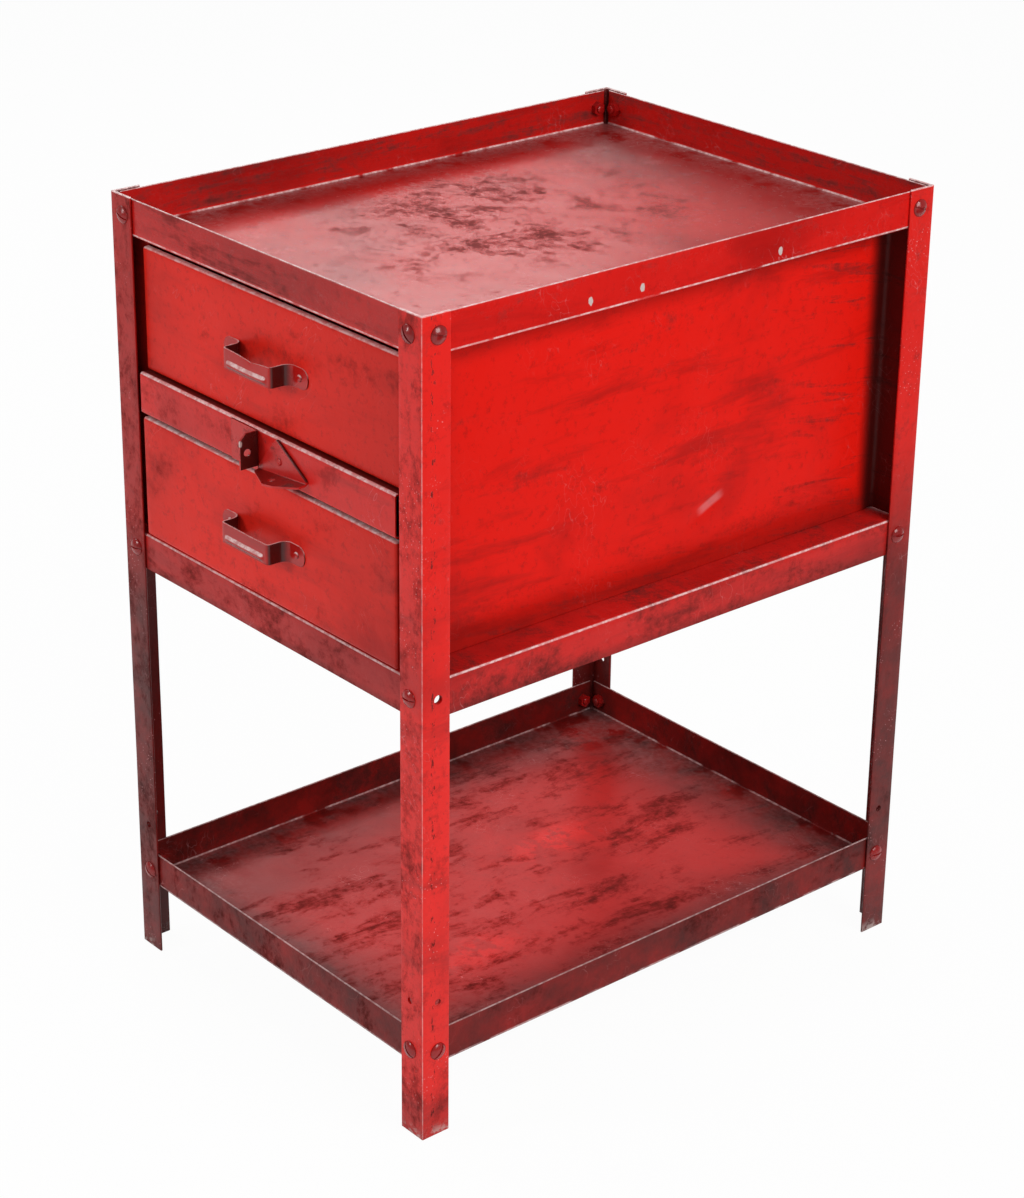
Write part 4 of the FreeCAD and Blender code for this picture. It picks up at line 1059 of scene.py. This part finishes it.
for row, end in (("front", -1), ("rear", 1)):
    for word, side in (("left", -1), ("right", 1)):
        leg = leg_piece("angle_%s_%s" % (row, word), "leg_%s_%s" % (row, word), side, end, 70 + side + 4 * end)
print("legs:", len(leg.data.vertices), "points each")

# %% [markdown]
# ## Pulls, lock and fasteners
#
# A pull is one strip bent out of the drawer's face and back, so its middle surface is a plan path
# times the strip's width. Its ends are rounded by making the width shrink towards them, and the
# bead along the lower half of the grip is a smooth hump pressed outwards. The upper pull was hit
# once: its top edge sags in the middle, and the strip under it bows a little.

# %% Pulls
PULL_SHEET = 0.0014
PULL_HALF, PULL_END, GRIP_HALF = 0.00975, 0.063, 0.0353
TAB_ROUND, PULL_RIVET = 0.009, 0.051


def pull_grid(reach, bent):
    """The strip in (x, out, up). Its half width is H(x) = 0.75 mm + sqrt(R^2 - (|x| - x0)^2) over
    the round tab and constant elsewhere. The bead adds 2.2 mm * sin^2 over the lower half."""
    flat, grip = PULL_SHEET / 2, reach - 0.0022 - PULL_SHEET / 2
    path = folded([(-PULL_END, flat), (-GRIP_HALF, flat), (-GRIP_HALF, grip), (GRIP_HALF, grip),
                   (GRIP_HALF, flat), (PULL_END, flat)], [0.0090, 0.0030, 0.0030, 0.0090], 9)
    path = sampled(path, 0.0011)
    x, out, v = carried(path, np.linspace(-1, 1, 41))
    bite = np.clip(np.abs(x) - (PULL_END - TAB_ROUND), 0, TAB_ROUND)
    half = PULL_HALF - TAB_ROUND + np.sqrt(np.maximum(TAB_ROUND ** 2 - bite ** 2, 0))
    up = v * half
    on_grip = out > grip - 0.0004
    ends = np.clip((GRIP_HALF - 0.0045 - np.abs(x)) / 0.004, 0, 1)
    ends = ends * ends * (3 - 2 * ends) * on_grip
    hump = np.clip((up + 0.00875) / 0.0085, 0, 1)
    out = out + 0.0021 * np.sin(hump * math.pi) ** 2 * ends
    sag = np.exp(-np.abs(x - 0.006) / 0.017) * on_grip * np.clip(up / PULL_HALF, 0, 1) ** 1.5
    bow = np.exp(-((x - 0.004) / 0.020) ** 2) * on_grip
    up = up - bent * (0.0033 * sag + 0.0006 * bow)
    out = out - bent * 0.0008 * sag
    return np.stack([x, -out, up], axis=-1)


def pull_piece(word, bent):
    """A pull in its node's place, bent by a share of the blow that the upper one took."""
    node = word + "_drawer_pull"
    low, high = np.array(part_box(node))
    grid = pull_grid(high[1] - low[1], bent) + (0, high[1], (low[2] + high[2]) / 2)
    made = thicken(to_mesh(word + "_pull_strip", [grid], "pull_enamel"), PULL_SHEET, 0.0003)
    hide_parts(node)
    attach(made, word + "_drawer")
    return made


pulls = [pull_piece("upper", 1.0), pull_piece("lower", 0.15)]
print("pulls:", [len(pull.data.vertices) for pull in pulls], "points")

# %% [markdown]
# The lock plate is a blunt triangle with its lower edge folded forward into a ragged flange, and the
# flange has a hole for a shackle. Both parts are graphs over the fold line: at the place u along
# the fold, the plate stands up to a height and the flange reaches out to a depth, and each is a
# line drawn through a few measured corners. The flange droops a little.

# %% Lock plate
PLATE_SHEET, PLATE_FOLD, PLATE_TILT = 0.0020, 0.0020, math.radians(5.5)
PIVOT = np.array([0.0305, FRONT_Y - 0.0025, 0.6116])      # on the rail's face
OUT_FROM_RAIL = 0.0013      # the middle of the plate's sheet
FOLD_PLACE = (0.0012, -0.0136)      # the fold's middle, seen from the pivot
PLATE_UP = np.array([(-0.0340, 0.0050), (-0.0322, 0.0068), (-0.0045, 0.0332), (-0.0027, 0.0340),
                     (-0.0008, 0.0332), (0.0350, 0.0060), (0.0372, 0.0040)])
FLANGE_OUT = np.array([(-0.0340, 0.0060), (-0.0325, 0.0072), (-0.0012, 0.0216), (0.0006, 0.0219),
                       (0.0130, 0.0203), (0.0240, 0.0160), (0.0355, 0.0105), (0.0372, 0.0085)])
DROOP = 0.10      # the flange's fall for each metre that it reaches out
EYE_PLACE, EYE_HOLE = (0.0002, -0.0121, -0.001), 0.0033


def plate_grid():
    """Rows run from the plate's top edge down, through the fold, to the flange's tip."""
    corners = np.concatenate([PLATE_UP[:, 0], FLANGE_OUT[:, 0]])
    u = np.unique(np.round(np.append(np.linspace(corners.min(), corners.max(), 91), corners), 5))
    tall = np.interp(u, PLATE_UP[:, 0], PLATE_UP[:, 1])
    deep = np.interp(u, FLANGE_OUT[:, 0], FLANGE_OUT[:, 1])
    share = np.linspace(1, 0, 15)[:, None]
    r = PLATE_FOLD
    rise = r + share * np.maximum(tall - r, 1e-4)
    arc = np.linspace(0, math.pi / 2, 7)[1:, None]
    fold_up = r * (1 - np.sin(arc)) + 0 * u
    fold_out = r * (1 - np.cos(arc)) + 0 * u
    way = np.linspace(0, 1, 13)[1:, None]
    out = r + way * np.maximum(deep - r, 1e-4)
    up = np.concatenate([rise, fold_up, -DROOP * (out - r)])
    out = np.concatenate([np.zeros_like(rise), fold_out, out])
    return np.stack([np.repeat(u[None], len(up), 0), -out, up], axis=-1)


def tilted(points):
    """Turn (along the fold, out, up) by the plate's tilt and set it at the pivot."""
    c, s = math.cos(PLATE_TILT), math.sin(PLATE_TILT)
    u, v = points[..., 0] + FOLD_PLACE[0], points[..., 2] + FOLD_PLACE[1]
    return np.stack([PIVOT[0] + u * c - v * s, PIVOT[1] - OUT_FROM_RAIL + points[..., 1],
                     PIVOT[2] + u * s + v * c], axis=-1)


plate = to_mesh("lock_plate", [tilted(plate_grid())], "lock_enamel")
thicken(plate, PLATE_SHEET, 0.0004)
eye = tilted(np.array(EYE_PLACE))
drill(plate, [(tuple(eye), (math.sin(-PLATE_TILT), -DROOP, math.cos(PLATE_TILT)), EYE_HOLE)])
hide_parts("latch_plate")
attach(plate, "lock_plate")
print("lock plate:", len(plate.data.vertices), "points")

# %% [markdown]
# Bolt heads are low domes with a screwdriver slot. A disc with straight grid lines through it is
# made by squeezing a square: x = a sqrt(1 - b^2 / 2), y = b sqrt(1 - a^2 / 2), times the radius.
# The dome and the slot are heights over that disc. Below it the outline is turned about the axis:
# the head's edge, the shank and its thread. Every bolt is turned by its own angle.

# %% Bolts
HEAD, HEAD_RISE, HEAD_EDGE, SLOT_DEPTH = 0.0085, 0.0040, 0.0008, 0.0013
SHANK, GRIP_LENGTH, THREAD_DEPTH = 0.0038, 0.0115, 0.00008
turns = np.random.default_rng(9)


def disc(radius, steps):
    """The squeezed square, as x and y of a grid."""
    a, b = np.meshgrid(steps, steps, indexing="ij")
    return radius * a * np.sqrt(1 - b * b / 2), radius * b * np.sqrt(1 - a * a / 2), b


def bolt_grids():
    """A bolt along Z with its head's underside at 0. The dome stands edge + (rise - edge) *
    (1 - (r / R)^2)^0.85 above it, and the slot lowers it where |b| is small."""
    steps = np.unique(np.concatenate([np.linspace(-1, 1, 17), [-0.105, -0.085, 0.085, 0.105]]))
    x, y, b = disc(HEAD, steps)
    dome = HEAD_EDGE + (HEAD_RISE - HEAD_EDGE) * np.maximum(1 - (x * x + y * y) / HEAD ** 2, 0) ** 0.85
    dome = np.where(np.abs(b) < 0.095, np.minimum(dome - SLOT_DEPTH, HEAD_RISE - SLOT_DEPTH * 1.15), dome)
    top = np.stack([x, y, np.maximum(dome, 0.0003)], axis=-1)
    rim = np.concatenate([top[0], top[1:, -1], top[-1, -2::-1], top[-2::-1, 0]])
    flat = np.hypot(rim[:, 0], rim[:, 1])
    threads = np.linspace(-0.0045, -GRIP_LENGTH + 0.0006, 15)
    radii = [SHANK + THREAD_DEPTH * (-1) ** k for k in range(len(threads))]
    outline = [(HEAD, 0.0), (SHANK, 0.0)] + list(zip(radii, threads)) + [(SHANK - 0.0006, -GRIP_LENGTH)]
    band = np.stack([rim] + [np.stack([rim[:, 0] / flat * r, rim[:, 1] / flat * r, np.full(len(rim), z)], -1)
                             for r, z in outline])
    end = np.stack([np.zeros(len(rim)), np.zeros(len(rim)), np.full(len(rim), -GRIP_LENGTH)], -1)
    return [top, np.concatenate([band, end[None]])]


def set_at(grids, place, direction, angle):
    """The grids turned by angle about Z, then Z turned to the direction, then moved."""
    turn = np.array((Vector(direction).to_track_quat("Z", "Y").to_matrix()
                     @ Matrix.Rotation(angle, 3, "Z")))
    return [grid @ turn.T + np.array(place) for grid in grids]


def bolt_row(name, node, level, lost=()):
    """The bolts of one pan: two at each leg, square to its two sides."""
    grids = []
    pattern = bolt_grids()
    for side in (-1, 1):
        for end in (-1, 1):
            inset_y = MIDDLE_Y + end * (LEG_Y - HOLE_INSET)
            spots = {"end": ((side * (LEG_X - HOLE_INSET), MIDDLE_Y + end * LEG_Y, level), (0, end, 0)),
                     "side": ((side * LEG_X, inset_y, level), (side, 0, 0))}
            for word, (place, way) in spots.items():
                if (side, end, word) not in lost:
                    grids += set_at(pattern, place, way, turns.uniform(0, math.pi))
    made = to_mesh(name, grids, "fastener_enamel")
    thicken(made, 0, 0.0001, 1)
    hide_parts(node)
    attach(made, "root")
    return made


bolts = [bolt_row("tray_bolts", "top_tray_bolts", TRAY_BOLTS),
         bolt_row("base_bolts", "cabinet_base_bolts", BASE_BOLTS, [(1, -1, "side")]),
         bolt_row("shelf_bolts", "lower_shelf_bolts", SHELF_BOLTS)]
print("bolts:", [len(row.data.vertices) for row in bolts], "points")

# %% [markdown]
# Rivets are outlines turned about their axis: a low dome with a soft edge, the shank, and the tail
# that was hammered flat behind. The lock plate's own rivet has a dimple in its head.

# %% Rivets
RIVET_SHANK, RIVET_TAIL, TAIL_EDGE, TAIL_HEIGHT = 0.0020, 0.0030, 0.0008, 0.0012


def rivet_grid(head, rise, grip, dimple):
    """Radius and height along the outline, times 40 angles. The dome's height falls from rise at
    the axis to zero at the head's edge, and the dimple is a bell curve taken off its middle."""
    outline = [(head * s, rise * math.sqrt(max(1 - s ** 2.4, 0)) - dimple * math.exp(-(s / 0.38) ** 2))
               for s in np.linspace(0, 1, 13)]
    outline += [(RIVET_SHANK, 0.0), (RIVET_SHANK, -grip), (RIVET_TAIL, -grip), (RIVET_TAIL, -grip - TAIL_EDGE),
                (RIVET_TAIL * 0.7, -grip - TAIL_HEIGHT), (0, -grip - TAIL_HEIGHT)]
    radius, height, angle = carried(np.array(outline), np.linspace(0, 2 * math.pi, 41))
    return np.stack([radius * np.cos(angle), radius * np.sin(angle), height], axis=-1)


def rivets(name, node, body, paint_slot, head, rise, places, dimple=0.0):
    """Rivets whose heads sit at the places and whose tails end with the model's."""
    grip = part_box(node)[1][1] - places[0][1] - TAIL_HEIGHT
    grids = []
    for place in places:
        grids += set_at([rivet_grid(head, rise, grip, dimple)], place, (0, -1, 0), 0.0)
    made = thicken(to_mesh(name, grids, "fastener_enamel", paint_slot), 0, 0.0001, 1)
    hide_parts(node)
    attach(made, body)


for word in ("upper", "lower"):
    low, high = np.array(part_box(word + "_drawer_pull"))
    face, level = high[1] - PULL_SHEET, (low[2] + high[2]) / 2
    rivets(word + "_pull_rivets", word + "_drawer_pull_rivets", word + "_drawer", "pull_enamel", 0.0034, 0.0015,
           [(-PULL_RIVET, face, level), (PULL_RIVET, face, level)])
head_y = PIVOT[1] - OUT_FROM_RAIL - PLATE_SHEET / 2
rivets("lock_rivet", "latch_rivet", "root", "lock_enamel", 0.0036, 0.0016, [(PIVOT[0], head_y, PIVOT[2])], 0.0008)
print("rivets set")


# %% [markdown]
# ## The end
